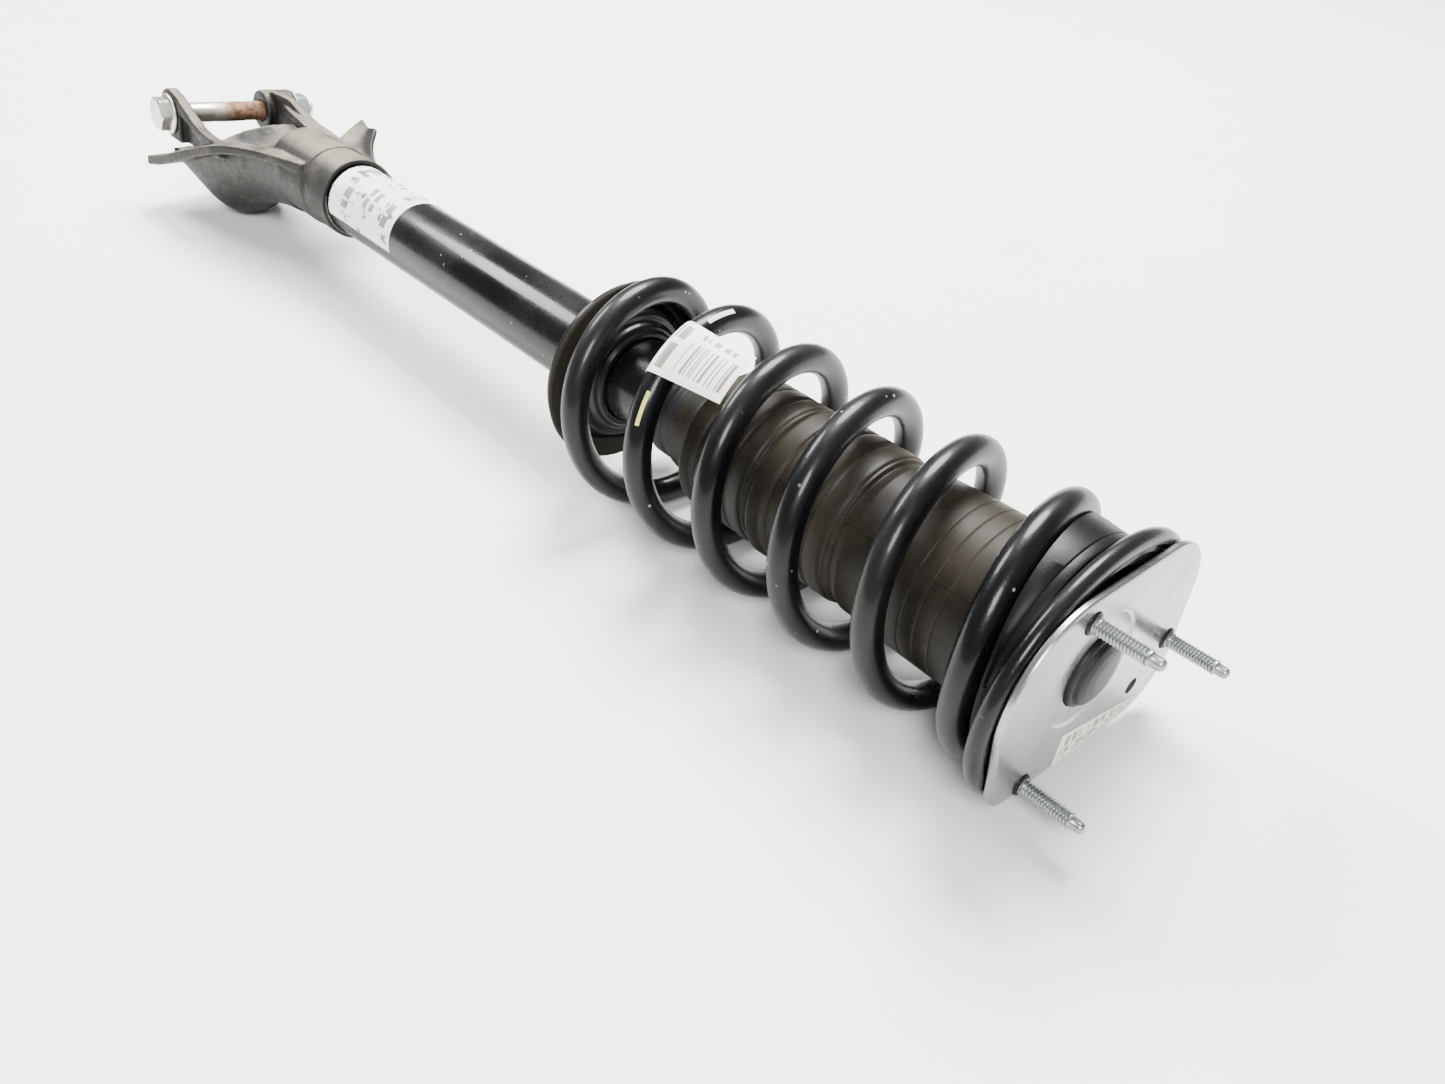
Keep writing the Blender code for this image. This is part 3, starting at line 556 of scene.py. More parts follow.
def coil_point(turn):
    radius = COIL_R - COIL_DRAW_IN * (1.0 - smooth_step((turn - COIL_DRAW_TURN) / COIL_DRAW_SPAN))
    angle = math.radians(COIL_LEAD_ANGLE) + math.tau * (turn - COIL_LEAD)
    return Vector((coil_station(turn), -radius * math.sin(angle), radius * math.cos(angle)))


def coil_frame(turn):
    """Centre of the wire with its outward, sideways and forward directions."""
    centre = coil_point(turn)
    tangent = (coil_point(turn + 0.002) - coil_point(turn - 0.002)).normalized()
    outward = Vector((0, centre.y, centre.z)).normalized()
    side = tangent.cross(outward).normalized()
    return centre, side.cross(tangent), side, tangent


def wire_point(turn, radius, angle, shift=0.0):
    """Point on the wire's section, shifted along the wire."""
    centre, outward, side, tangent = coil_frame(turn)
    return centre + tangent * shift + radius * (math.cos(angle) * outward + math.sin(angle) * side)


def build_coil():
    """The wire, its cut ends chamfered."""
    count, sides, chamfer = 460, 28, 1.4

    def ring(turn, radius, shift=0.0):
        return [wire_point(turn, radius, math.tau * k / sides, shift) for k in range(sides)]

    rows = [ring(0.0, WIRE_R - chamfer)]
    rows += [ring(COIL_TURNS * i / count, WIRE_R, 0.7 * chamfer * ((i == 0) - (i == count)))
             for i in range(count + 1)]
    rows.append(ring(COIL_TURNS, WIRE_R - chamfer))
    spring = piece("spring_wire", rows_mesh(rows), "spring", "lower_body",
                   replaces=("coil_spring",))
    squash_spring(spring)


def squash_spring(made):
    """Give a piece with the spring a mesh of its own."""
    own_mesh(made)


# Turns the label covers beside its place, its tail's length and curl, and the degrees round
# the wire where it starts and leaves.
FLAG_TURNS, FLAG_TAIL, FLAG_CURL, FLAG_SWEEP = (-0.085, 0.0), 39.0, 2.2, (120.0, -12.0)


def build_flag(near, look):
    """Paper label: wrapped over the wire, its long tail standing out towards the top mount."""
    along, across, radius = 48, 14, WIRE_R + 0.3
    low, high = FLAG_TURNS
    start, end = (math.radians(a) for a in FLAG_SWEEP)
    arc = radius * (start - end)

    def point(i, k, lift):
        length = (arc + FLAG_TAIL) * i / along
        centre, outward, side, _ = coil_frame(near + low + (high - low) * k / across)
        angle = start - min(length, arc) / radius
        around = math.cos(angle) * outward + math.sin(angle) * side
        leave = math.sin(angle) * outward - math.cos(angle) * side
        tail = max(length - arc, 0.0)
        curl = FLAG_CURL * (tail / FLAG_TAIL) ** 2 * math.sin(2.2 + 2.0 * k / across)
        return centre + around * (radius + lift + curl) + leave * tail

    sheet = sheet_mesh(point, (0.2, 0.0), along, across)
    squash_spring(piece("spring_label", sheet, look, "lower_body"))


def build_stripe(name, turns, angles, look):
    """Painted stripe on the wire, between two places along it and two angles round it."""
    along, across = 24, 4
    start, end = turns
    low, high = (math.radians(a) for a in angles)

    def point(i, k, lift):
        return wire_point(start + (end - start) * i / along, WIRE_R + lift, low + (high - low) * k / across)

    squash_spring(piece(name, sheet_mesh(point, (0.14, 0.08), along, across), look, "lower_body"))


def build_coil_marks():
    """Paper label on the wire, and the two colour stripes beside it."""
    lines = ((0.45, 0.92, 0.1, 0.2), (0.24, 0.36, 0.1, 0.36), (0.24, 0.36, 0.46, 0.9))
    paper = label_paper("spring_label_paper", (0.78, 0.76, 0.7), (0.05, 0.045, 0.04), 1.05,
                        (0.45, 0.94, 0.3, 0.86), lines, 76.0)
    near = COIL_LEAD + 1.0
    build_flag(near, paper)
    yellow = plastic("stripe_yellow", (0.62, 0.6, 0.16), 0.4)
    white = plastic("stripe_white", (0.75, 0.74, 0.7), 0.4)
    build_stripe("stripe_yellow", (near + 0.022, near + 0.066), (-35, -19), yellow)
    build_stripe("stripe_white", (near - 0.15, near - 0.1), (-42, -22), white)


# ------------------------------------------------------------------ rod, bumper and boot

CORE_X = 842.0              # underside of the top mount, where the bumper and the boot end
BOOT_LOW, BOOT_WALL = 619.0, 1.3
BOOT_SEAM = 52.0            # degrees from +Z towards -Y


def build_bumper():
    """Foam jounce bumper of three beads that narrow towards its free end."""
    top = CORE_X - 0.3
    outline = [(top, 11.3)]
    for start, outer in ((top, 27.0), (top - 26, 25.0), (top - 50, 21.0)):
        outline += [(start - 1, outer - 3), (start - 5, outer), (start - 18, outer),
                    (start - 22, outer - 5)]
    outline += [(top - 75, 15.0), (top - 75, 11.3)]
    piece("bumper_foam", lathe_mesh(fillet(outline, 3.0), 64), "foam", "upper_body",
          replaces=("jounce_bumper",))


def boot_outline(low, high):
    """Outer side of the boot: collar, two groups of pleats and the plain upper length."""
    outer = [(low, 28.9), (low + 3, 29.5), (low + 12, 29.1), (low + 16.5, 29.6), (low + 19.5, 36.5)]
    for start, count, pitch, radius, depth in ((low + 22, 4, 12.0, 40.6, 1.3),
                                               (low + 74, 4, 13.4, 41.8, 1.4)):
        for k in range(count):
            base = start + pitch * k
            outer += [(base, radius - depth), (base + 0.9, radius - 0.25), (base + 2.2, radius),
                      (base + pitch - 3.6, radius - 0.1), (base + pitch - 1.9, radius - 0.5),
                      (base + pitch - 0.9, radius - depth)]
        end = start + pitch * count
        outer += [(end + 0.5, radius - depth), (end + 2.0, radius - 3.2)]
    outer += [(low + 132, 39.6), (low + 136, 41.2), (low + 150, 41.9), (low + 166, 42.8)]
    for k in range(3):
        base = low + 176 + 9.0 * k
        outer += [(base, 43.2 + 0.15 * k), (base + 0.5, 42.8 + 0.15 * k), (base + 1.0, 43.2 + 0.15 * k)]
    outer += [(high - 6, 43.8), (high, 43.8)]
    return outer


def build_boot():
    """Bellows boot with a raised mould seam along it."""
    low, high = BOOT_LOW, CORE_X - 0.3
    outer = fillet(boot_outline(low, high), 0.5, 3)
    inner = [(x, max(r - BOOT_WALL, TUBE_R + 2.2)) for x, r in reversed(outer)]
    boot = lathe_mesh(outer + inner, 144)
    seam, angle = [], math.radians(BOOT_SEAM)
    for x, r in outer[::4]:
        y, z = -r * math.sin(angle), r * math.cos(angle)
        across, out = Vector((0, z, -y)).normalized() * 0.55, Vector((0, y, z)).normalized()
        middle = Vector((x, y, z))
        seam.append([middle - across - out * 0.4, middle - across * 0.6 + out * 0.3,
                     middle + across * 0.6 + out * 0.3, middle + across - out * 0.4])
    for name, bm, extra in (("boot_bellows", boot, ("dust_boot",)), ("boot_seam", rows_mesh(seam), ())):
        made = piece(name, bm, "boot", "upper_body", sharp=50.0, replaces=extra)
        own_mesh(made)


# ------------------------------------------------------------------ top mount

RIM_X, RIM_THICK = 857.1, 8.6
RIM_CENTRE, RIM_HALF, FLAT_Z = (5.5, -6.0), (79.0, 66.5), -70.0
PLATE_X, PLATE_THICK = 866.0, 4.0
# y, z and radius of the discs whose common hull is the plate
PLATE_DISCS = ((-21.0, 3.0, 45.5), (-44.0, -36.0, 17.0), (56.0, -34.0, 31.0), (45.0, 2.0, 41.0))
STUD_PLACES = ((-15.0, 36.0), (75.0, -26.0), (-35.0, -49.0))
STUD_R, STUD_LENGTH, STUD_PITCH = 4.0, 33.0, 1.6
PLATE_HOLE, PLATE_HOLE_R = (52.5, -44.0), 4.6
CAP_R = 18.0
PLATE_LABEL = ((-10.0, -56.5), (62.0, -62.5), (64.0, -57.0), (-8.0, -36.5))     # y and z of its corners


def rim_outline(grow, steps):
    """Oval outline with one flat side, its corners eased."""
    y0, z0 = RIM_CENTRE
    half_y, half_z = RIM_HALF
    points = []
    for i in range(steps):
        angle = math.tau * i / steps
        z = z0 + (half_z + grow) * math.sin(angle)
        points.append((y0 + (half_y + grow) * math.cos(angle), soft_max(z, FLAT_Z - grow, 0.5)))
    return points


def build_rim():
    """Rolled black rim: round bead, a step on its front, and a recess for the rubber bushing."""
    x0, x1, bead, steps = RIM_X, RIM_X + RIM_THICK, RIM_THICK / 2, 176
    rows = []
    for k in range(13):
        angle = math.radians(-90 + 15 * k)
        rows.append((x0 + bead + bead * math.sin(angle), bead * (math.cos(angle) - 1.0) - 0.4))
    rows += [(x1 - 0.1, -bead - 2.0), (x1 - 1.6, -bead - 2.8), (x1 - 2.4, -bead - 4.0),
             (x1 - 1.2, -bead - 5.6)]
    inner = [(x1 - 1.0, 50.0), (x1 - 3.6, 49.5), (x1 - 4.0, 48.0), (x1 - 4.0, 36.0), (x0, 36.0)]
    loops = [at_x(x, rim_outline(grow, steps)) for x, grow in rows]
    loops += [at_x(x, circle(r, steps)) for x, r in inner]
    piece("rim_cup", rows_mesh(loops, ends=False), "rim", "upper_body",
          replaces=("upper_spring_seat",))


def build_isolator():
    """Rubber spring seat: its lower lip climbs with the last turn of the wire."""
    rows, steps, base = [], 224, RIM_X - 0.3
    for i in range(steps):
        turn = COIL_TURNS + 0.01 - i / steps
        point = coil_point(turn)
        angle = math.atan2(point.z, point.y)
        lip = min(coil_station(turn) + WIRE_R + 0.3, base - 1.5)
        deep = min(lip, base - 13) - 6
        shape = [(lip + 0.2, 48.2), (lip, 49.5), (lip, 58.8), (lip + 0.6, 59.5)]
        room = base - 1.0 - lip
        shape.append((lip + room * 0.3, 59.4))
        if room > 6.0:
            shape += [(base - 5.2, 58.2), (base - 4.7, 57.7), (base - 4.2, 58.1)]
        else:
            shape += [(lip + room * 0.5, 58.8), (lip + room * 0.6, 58.5), (lip + room * 0.7, 58.2)]
        shape += [(base - 0.9, 57.9), (base, 57.5), (base, 37.0), (base - 13, 37.0), (base - 13, 44.5),
                  (deep, 44.5), (deep, 48.2)]
        rows.append([(x, r * math.cos(angle), r * math.sin(angle)) for x, r in shape])
    piece("isolator_ramp", rows_mesh(rows, ends=False), "isolator", "upper_body",
          replaces=("upper_isolator",))


def hull_outline(discs, steps=72):
    """Points round the tight outline that encloses several discs (y, z, radius)."""
    rim = [Vector((y + r * math.cos(math.tau * i / steps), z + r * math.sin(math.tau * i / steps)))
           for y, z, r in discs for i in range(steps)]
    rim.sort(key=lambda p: (p.x, p.y))

    def half(points):
        chain = []
        for p in points:
            while len(chain) > 1 and (chain[-1] - chain[-2]).cross(p - chain[-2]) <= 1e-6:
                chain.pop()
            chain.append(p)
        return chain[:-1]

    return [(p.x, p.y) for p in half(rim) + half(rim[::-1])]


def resample(outline, count):
    """Evenly spaced points along a closed outline."""
    points = [Vector(p) for p in outline]
    lengths = [0.0]
    for a, b in zip(points, points[1:] + points[:1]):
        lengths.append(lengths[-1] + (b - a).length)
    made, k = [], 0
    for i in range(count):
        want = lengths[-1] * i / count
        while lengths[k + 1] < want:
            k += 1
        t = (want - lengths[k]) / (lengths[k + 1] - lengths[k])
        made.append(points[k].lerp(points[(k + 1) % len(points)], t))
    return made


def offset(outline, amount):
    """Move each point of a convex outline inwards."""
    count = len(outline)
    moved = []
    for i, point in enumerate(outline):
        along = (outline[(i + 1) % count] - outline[i - 1]).normalized()
        moved.append(point + Vector((-along.y, along.x)) * amount)
    return moved


def boolean(target, operation, bm_tool, place=AXIS, solver="EXACT"):
    """Apply one boolean step to a piece at once."""
    bm_tool.transform(place)
    bmesh.ops.recalc_face_normals(bm_tool, faces=bm_tool.faces)
    mesh = bpy.data.meshes.new("tool")
    bm_tool.to_mesh(mesh)
    bm_tool.free()
    tool = bpy.data.objects.new("tool", mesh)
    bpy.context.scene.collection.objects.link(tool)
    step = target.modifiers.new("step", "BOOLEAN")
    step.operation, step.solver, step.object = operation, solver, tool
    apply_modifiers(target)
    bpy.data.objects.remove(tool)


def apply_modifiers(target):
    """Make a piece's modifiers part of its mesh."""
    bpy.context.view_layer.update()
    graph = bpy.context.evaluated_depsgraph_get()
    mesh = bpy.data.meshes.new_from_object(target.evaluated_get(graph))
    target.modifiers.clear()
    target.data = mesh


def build_plate():
    """Zinc plate with a shallow well round its middle hole, a small hole, and three for the studs."""
    outline = resample(hull_outline(PLATE_DISCS), 220)
    x0, x1, soft = PLATE_X, PLATE_X + PLATE_THICK, 25.0
    edge = ((x0, 0.9), (x0 + 0.3, 0.3), (x0 + 0.9, 0.0), (x1 - 1.3, 0.0), (x1 - 0.5, 0.4),
            (x1 - 0.1, 1.1), (x1, 2.0))
    bm = rows_mesh([at_x(x, offset(outline, inset)) for x, inset in edge])
    plate = piece("zinc_plate", bm, "zinc", "upper_body", sharp=soft,
                  replaces=("mount_plate",))
    below, above, hole_r = x0 - 2, x1 + 2, CAP_R + 1.5
    middle = [(below, 0), (below, hole_r), (above, hole_r), (above, 0)]
    well = [(above, 0), (x1 - 0.9, 0), (x1 - 0.9, 29.0), (x1, 30.6), (above, 30.6)]
    for profile in (middle, well):
        boolean(plate, "DIFFERENCE", lathe_mesh(profile))
    for radius, spot in [(PLATE_HOLE_R, PLATE_HOLE)] + [(STUD_R + 0.3, spot) for spot in STUD_PLACES]:
        boolean(plate, "DIFFERENCE", rows_mesh([at_x(x, circle(radius, 40, spot)) for x in (below, above)]))
    shade(plate.data, soft)


def thread_rows(start, end, outer, depth, pitch, around=40, per_pitch=6):
    """Rings whose radius follows a helical thread that fades at both ends."""
    rows = []
    count = int((end - start) / pitch * per_pitch)
    for i in range(count + 1):
        x = start + (end - start) * i / count
        fade = smooth_step((x - start) / pitch) * smooth_step((end - x) / pitch)
        ring = []
        for k in range(around):
            angle = math.tau * k / around
            phase = (x / pitch - k / around) % 1.0
            groove = abs(phase * 2.0 - 1.0) ** 0.9
            r = outer - depth * groove * fade
            ring.append((x, r * math.cos(angle), r * math.sin(angle)))
        rows.append(ring)
    return rows


def ring_row(x, radius, around=40, knurl=0.0):
    """Ring of points; knurl is the depth of the grooves between every second one."""
    return at_x(x, [((radius - knurl * (k % 2)) * math.cos(math.tau * k / around),
                     (radius - knurl * (k % 2)) * math.sin(math.tau * k / around)) for k in range(around)])


def build_studs():
    """Pressed-in studs: knurled neck, rolled thread and a rounded dog point."""
    face = PLATE_X + PLATE_THICK
    tip = face + STUD_LENGTH
    # Distance below the tip and below the thread's radius, along the dog point.
    point = ((6.2, 0.7), (5.6, 1.1), (2.2, 1.15), (1.2, 1.35), (0.45, 1.8), (0.0, 2.6))
    foot = [(face + 0.02, STUD_R + 0.35), (face + 0.02, STUD_R + 1.9), (face + 0.9, STUD_R + 1.4),
            (face + 1.1, STUD_R + 0.35)]
    for number, (y, z) in enumerate(STUD_PLACES, 1):
        rows = [ring_row(PLATE_X + 0.2, STUD_R)]
        rows += [ring_row(x, STUD_R + 0.25, knurl=0.45) for x in (PLATE_X + 0.8, face + 1.4)]
        rows.append(ring_row(face + 2.0, STUD_R - 0.5))
        rows += thread_rows(face + 2.4, tip - 6.6, STUD_R, 0.85, STUD_PITCH)
        rows += [ring_row(tip - below, STUD_R - less) for below, less in point]
        stud, collar = rows_mesh(rows), lathe_mesh(fillet(foot, 0.25), 40)
        for bm in (stud, collar):
            bmesh.ops.translate(bm, vec=(0, y, z), verts=bm.verts)
        piece(f"stud_{number}", stud, "stud", "upper_body", sharp=40.0,
              replaces=(f"mount_stud_{number}",))
        # Each stud's collar is painted black: painted shade of the crevice round the stud's foot.
        piece(f"stud_collar_{number}", collar, "groove", "upper_body")


def build_cap():
    """Domed black cap in the plate's middle hole."""
    x = PLATE_X + 1.0
    outline = [(x, 0), (x, 12), (PLATE_X - 1, 14.5), (PLATE_X - 1, CAP_R + 1.0), (x + 3.2, CAP_R + 1.0),
               (x + 4.4, CAP_R + 0.4), (x + 5.0, CAP_R - 1.2), (x + 6.8, CAP_R - 2.0),
               (x + 8.4, CAP_R - 5.5), (x + 9.2, CAP_R - 10.0), (x + 9.5, 0)]
    piece("plate_cap", lathe_mesh(fillet(outline, 0.9), 80), "cap", "upper_body",
          replaces=("centre_cap",))


def build_plate_label():
    """Paper label flat on the plate."""
    paper = label_paper("plate_label_paper", (0.74, 0.72, 0.62), (0.16, 0.15, 0.14), 0.98,
                        (0.08, 0.92, 0.5, 0.86), ((0.06, 0.94, 0.26, 0.4), (0.1, 0.7, 0.1, 0.18)), 60.0)
    along, across, face = 16, 10, PLATE_X + PLATE_THICK
    a, b, c, d = (Vector(corner) for corner in at_x(face, PLATE_LABEL))

    def point(i, k, lift):
        low, high = a.lerp(b, i / along), d.lerp(c, i / along)
        return low.lerp(high, k / across) + Vector((lift, 0.0, 0.0))

    piece("plate_label", sheet_mesh(point, (0.18, 0.06), along, across), paper, "upper_body")


# ------------------------------------------------------------------ label on the tube

# x of its two ends, the unevenness of the lower one, and degrees from +Z towards -Y
TUBE_LABEL_X, TUBE_LABEL_TORN, TUBE_LABEL_ANGLES = (236.5, 321.0), 0.8, (-78.0, 96.0)


def build_tube_label():
    """Paper label bent round the tube, its lower end torn."""
    lines = ((0.24, 0.46, 0.5, 0.56), (0.24, 0.46, 0.6, 0.66), (0.1, 0.86, 0.82, 0.9),
             (0.56, 0.82, 0.5, 0.54), (0.56, 0.8, 0.6, 0.64), (0.14, 0.4, 0.2, 0.3))
    paper = label_paper("tube_label_paper", (0.78, 0.79, 0.78), (0.07, 0.075, 0.09), 0.9,
                        (0.5, 0.82, 0.1, 0.26), lines, 64.0)
    along, around = 40, 48
    start, end = TUBE_LABEL_X
    low, high = (math.radians(a) for a in TUBE_LABEL_ANGLES)
    ragged = random.Random(7)
    edge = [start + TUBE_LABEL_TORN * ragged.uniform(0.0, 1.0) for _ in range(around + 1)]

    def point(i, k, lift):
        angle, radius = low + (high - low) * k / around, TUBE_R + lift
        return (edge[k] + (end - edge[k]) * i / along, -radius * math.sin(angle), radius * math.cos(angle))

    sheet = sheet_mesh(point, (0.23, 0.05), along, around, lambda i, k: (1.0 - k / around, i / along))
    piece("tube_label", sheet, paper, "lower_body")


# ------------------------------------------------------------------ fork

BOLT_R, BORE_R, BOSS_R, EAR_R, SHEET = 8.0, 8.5, 17.0, 20.0, 5.0
NEAR_EAR_Y, FAR_EAR_Y, BOSS_Y = (-43.0, -34.5), (40.0, 47.0), (34.0, 61.0)
COLLAR = (200.0, 234.0, 29.3)           # low x, high x and radius
WELD_SIZE, WELD_SPREAD = 1.5, 200.0     # radius and degrees round the tube
VOXEL = 1.15                            # cell of the remesh that fuses the yoke
# x, near rim y and z, far rim y and z, depth of the trough below its rims
TROUGH = ((-14.0, -39.0, -36.0, 44.0, -22.0, 1.0), (14.0, -39.0, -29.0, 44.0, -16.0, 31.0),
          (50.0, -38.0, -17.0, 43.0, -8.0, 57.0), (92.0, -35.0, -2.0, 36.0, 2.0, 48.0),
          (130.0, -31.0, 8.0, 31.0, 8.0, 46.0), (165.0, -29.8, 12.0, 29.8, 11.0, 45.0))
# x, inner y, outer y, top z and thickness of the flange along each rim
NEAR_FLANGE = ((-14.0, -36.0, -60.0, -36.0, 9.0), (12.0, -36.0, -60.0, -29.0, 9.0),
               (55.0, -35.0, -59.0, -12.0, 9.0), (100.0, -33.0, -50.0, 5.0, 9.0),
               (145.0, -28.0, -40.0, 14.0, 8.0), (200.0, -22.0, -28.0, 19.0, 8.0))
FAR_FLANGE = ((34.0, 38.0, 47.0, 14.0, 9.0), (70.0, 33.0, 43.0, 12.5, 8.0),
              (100.0, 28.5, 38.0, 13.0, 7.0), (150.0, 27.0, 36.5, 14.0, 6.5),
              (200.0, 24.0, 36.0, 15.0, 6.5), (228.0, 20.0, 30.5, 15.0, 5.0))
# x and z of each arm's edge, along its top from the eye and back along the trough
NEAR_ARM = ((0.0, EAR_R), (12.0, 17.5), (25.0, 12.5), (41.0, 6.5), (56.0, 2.0), (74.0, 1.0), (92.0, 2.0),
            (92.0, -10.0), (40.0, -19.0))
FAR_ARM = ((0.0, BOSS_R), (22.0, 19.0), (40.0, 20.0), (56.0, 15.5), (76.0, 12.0), (100.0, 11.0),
           (125.0, 9.0), (125.0, 2.0), (90.0, -8.0), (40.0, -18.0))
# x, near y and z, far y and z, middle z of the web that closes the trough over the tube's end
WEB = ((50.0, -36.0, -14.0, 41.5, 2.0, 1.0), (60.0, -36.0, -11.0, 41.0, 4.0, -8.0),
       (74.0, -35.0, -6.0, 38.0, 4.0, -15.0), (92.0, -34.0, -2.0, 36.0, 5.0, -11.0),
       (112.0, -32.0, 5.0, 33.0, 8.0, 2.0), (132.0, -30.0, 9.0, 30.0, 9.0, 17.0),
       (154.0, -28.0, 12.0, 28.0, 12.0, 28.0))
WEB_SHEET = 4.0
# x and z of the shallow recess in the near arm, and the y between which it is cut
NEAR_RECESS_Y = (-50.0, -37.8)
NEAR_RECESS = ((17.5, 4.0), (38.0, -1.0), (56.0, -7.0), (56.0, -16.0), (20.0, -24.0), (17.5, -14.0))


def trough_surface(along=56, around=44):
    """Inner skin of the trough, between its two rims."""
    start, end = TROUGH[0][0], TROUGH[-1][0]
    rows = []
    for i in range(along + 1):
        x = start + (end - start) * i / along
        near_y, near_z, far_y, far_z, depth = stations(TROUGH, x)
        row = []
        for angle in (math.pi * k / around for k in range(around + 1)):
            share = (1 - math.cos(angle)) / 2
            row.append((x, near_y + (far_y - near_y) * share,
                        near_z + (far_z - near_z) * share - depth * math.sin(angle) ** 0.8))
        rows.append(row)
    return surface_mesh(rows)


def arm_outline(edge, radius):
    """Outline of an arm: its edge, then round the eye."""
    angles = [math.radians(a) for a in range(180, 0, -10)]
    return list(edge) + [(-radius * math.sin(a), radius * math.cos(a)) for a in angles]


def flange_solid(rows, steps=44):
    """Flat bar along a rim, its section a leaning four-sided one."""
    start, end = rows[0][0], rows[-1][0]
    layers = []
    for x in (start + (end - start) * i / steps for i in range(steps + 1)):
        inner, outer, top, thick = stations(rows, x)
        layers.append(at_x(x, ((inner, top), (outer, top - 1.5), (outer, top - thick),
                               (inner, top + 1.5 - thick))))
    return rows_mesh(layers)


def web_solid(along=44, across=36):
    """Dished sheet between the trough's rims, rising to the tube."""
    start, end = WEB[0][0], WEB[-1][0]
    layers = []
    for x in (start + (end - start) * i / along for i in range(along + 1)):
        near_y, near_z, far_y, far_z, middle = stations(WEB, x)
        dish = middle - (near_z + far_z) / 2
        top = []
        for share in (k / across for k in range(across + 1)):
            z = near_z + (far_z - near_z) * share + dish * math.sin(math.pi * share)
            top.append((near_y + (far_y - near_y) * share, z))
        layers.append(at_x(x, top + [(y, z - WEB_SHEET) for y, z in reversed(top)]))
    return rows_mesh(layers)


def round_bar(y0, y1, radius):
    """Bar along the bolt's axis."""
    return prism(circle(radius, 64), y0, y1)


def build_yoke():
    """Pressed and welded yoke, fused into one skin with soft corners, and its collar and weld."""
    yoke = piece("yoke", trough_surface(), "fork", "lower_body", FORK,
                 replaces=("fork_yoke",))
    sheet = yoke.modifiers.new("sheet", "SOLIDIFY")
    sheet.thickness, sheet.offset, sheet.use_even_offset = SHEET * MM, 1.0, True
    apply_modifiers(yoke)
    start, end, collar_r = COLLAR
    sleeve = [(150.0, TUBE_R - 1.0), (150.0, 29.3), (start - 6, 30.4), (start + 4, 30.4),
              (start + 5, 29.0), (start + 5, TUBE_R - 1.0)]
    tube = [(TUBE_START - 1, 0), (TUBE_START - 1, TUBE_R + 0.6), (end + 9, TUBE_R + 0.6), (end + 9, 0)]
    for bm in (lathe_mesh(sleeve), prism(arm_outline(NEAR_ARM, EAR_R - 0.4), *NEAR_EAR_Y),
               prism(arm_outline(FAR_ARM, BOSS_R), *FAR_EAR_Y), round_bar(*BOSS_Y, BOSS_R - 0.4),
               flange_solid(NEAR_FLANGE), flange_solid(FAR_FLANGE), web_solid()):
        boolean(yoke, "UNION", bm, FORK, "MANIFOLD")
    for bm in (prism(NEAR_RECESS, *NEAR_RECESS_Y), round_bar(-80.0, 110.0, BORE_R), lathe_mesh(tube)):
        boolean(yoke, "DIFFERENCE", bm, FORK, "MANIFOLD")
    remesh = yoke.modifiers.new("fuse", "REMESH")
    remesh.mode, remesh.voxel_size, remesh.use_smooth_shade = "VOXEL", VOXEL * MM, True
    soften = yoke.modifiers.new("soften", "SMOOTH")
    soften.factor, soften.iterations = 0.5, 5
    apply_modifiers(yoke)
    yoke.data.materials.clear()
    yoke.data.materials.append(LOOKS["fork"])
    yoke.data.shade_smooth()

    collar = [(start, TUBE_R + 0.3), (start, collar_r), (end, collar_r), (end, TUBE_R + 0.3)]
    piece("yoke_collar", lathe_mesh(fillet(collar, 1.2), 112), "fork", "lower_body", FORK)
    build_collar_weld(end + 0.6)


def build_collar_weld(x, steps=150):
    """Uneven weld bead round the lower part of the tube, thinner towards its two ends."""
    rings = []
    for i in range(steps + 1):
        angle = math.radians(WELD_SPREAD / 2 - 90.0 - WELD_SPREAD * i / steps)
        fade = min(1.0, 6.0 * i / steps, 6.0 * (steps - i) / steps)
        uneven = 1 + 0.12 * math.sin(i * 0.9) + 0.1 * math.sin(i * 0.37)
        rings.append(bead_ring(x, TUBE_R + 0.9, WELD_SIZE * (0.4 + 0.6 * fade) * uneven, angle, 0.5))
    piece("collar_weld", rows_mesh(rings), "fork", "lower_body", FORK)


# y beyond the far flange, low x, high x and z of the hose bracket's sheet
BRACKET = ((1.2, 134.0, 204.0, 12.0), (9.0, 128.0, 184.0, 13.0), (18.0, 123.0, 166.0, 17.0),
           (30.0, 122.0, 150.0, 24.0))
BRACKET_SHEET, BRACKET_SAG, BRACKET_CURL = 2.8, 5.0, 2.5
FLANGE_EDGE = ((34.0, 47.0), (96.0, 38.0), (150.0, 31.0), (200.0, 31.0), (233.0, 30.0))     # x and y


def build_bracket(along=30, across=36):
    """Dished sheet that stands out from the far flange and turns up at its end."""
    rows = []
    for i in range(along + 1):
        reach = BRACKET[0][0] + (BRACKET[-1][0] - BRACKET[0][0]) * i / along
        low, high, z = stations(BRACKET, reach)
        row = []
        for share in (k / across for k in range(across + 1)):
            x = low + (high - low) * share
            foot = stations(FLANGE_EDGE, x)[0]
            curl = BRACKET_CURL * (i / along) ** 3 * (1 - abs(2 * share - 1) ** 4)
            row.append((x, foot + reach, z - BRACKET_SAG * math.sin(math.pi * share) + curl))
        rows.append(row)
    bracket = piece("hose_tab", surface_mesh(rows), "fork", "lower_body", FORK,
                    replaces=("hose_bracket",))
    sheet = bracket.modifiers.new("sheet", "SOLIDIFY")
    sheet.thickness, sheet.offset = BRACKET_SHEET * MM, 0.0
    round_off = bracket.modifiers.new("round", "BEVEL")
    round_off.width, round_off.segments, round_off.limit_method = 0.7 * MM, 3, "ANGLE"
    apply_modifiers(bracket)
    shade(bracket.data, 50.0)


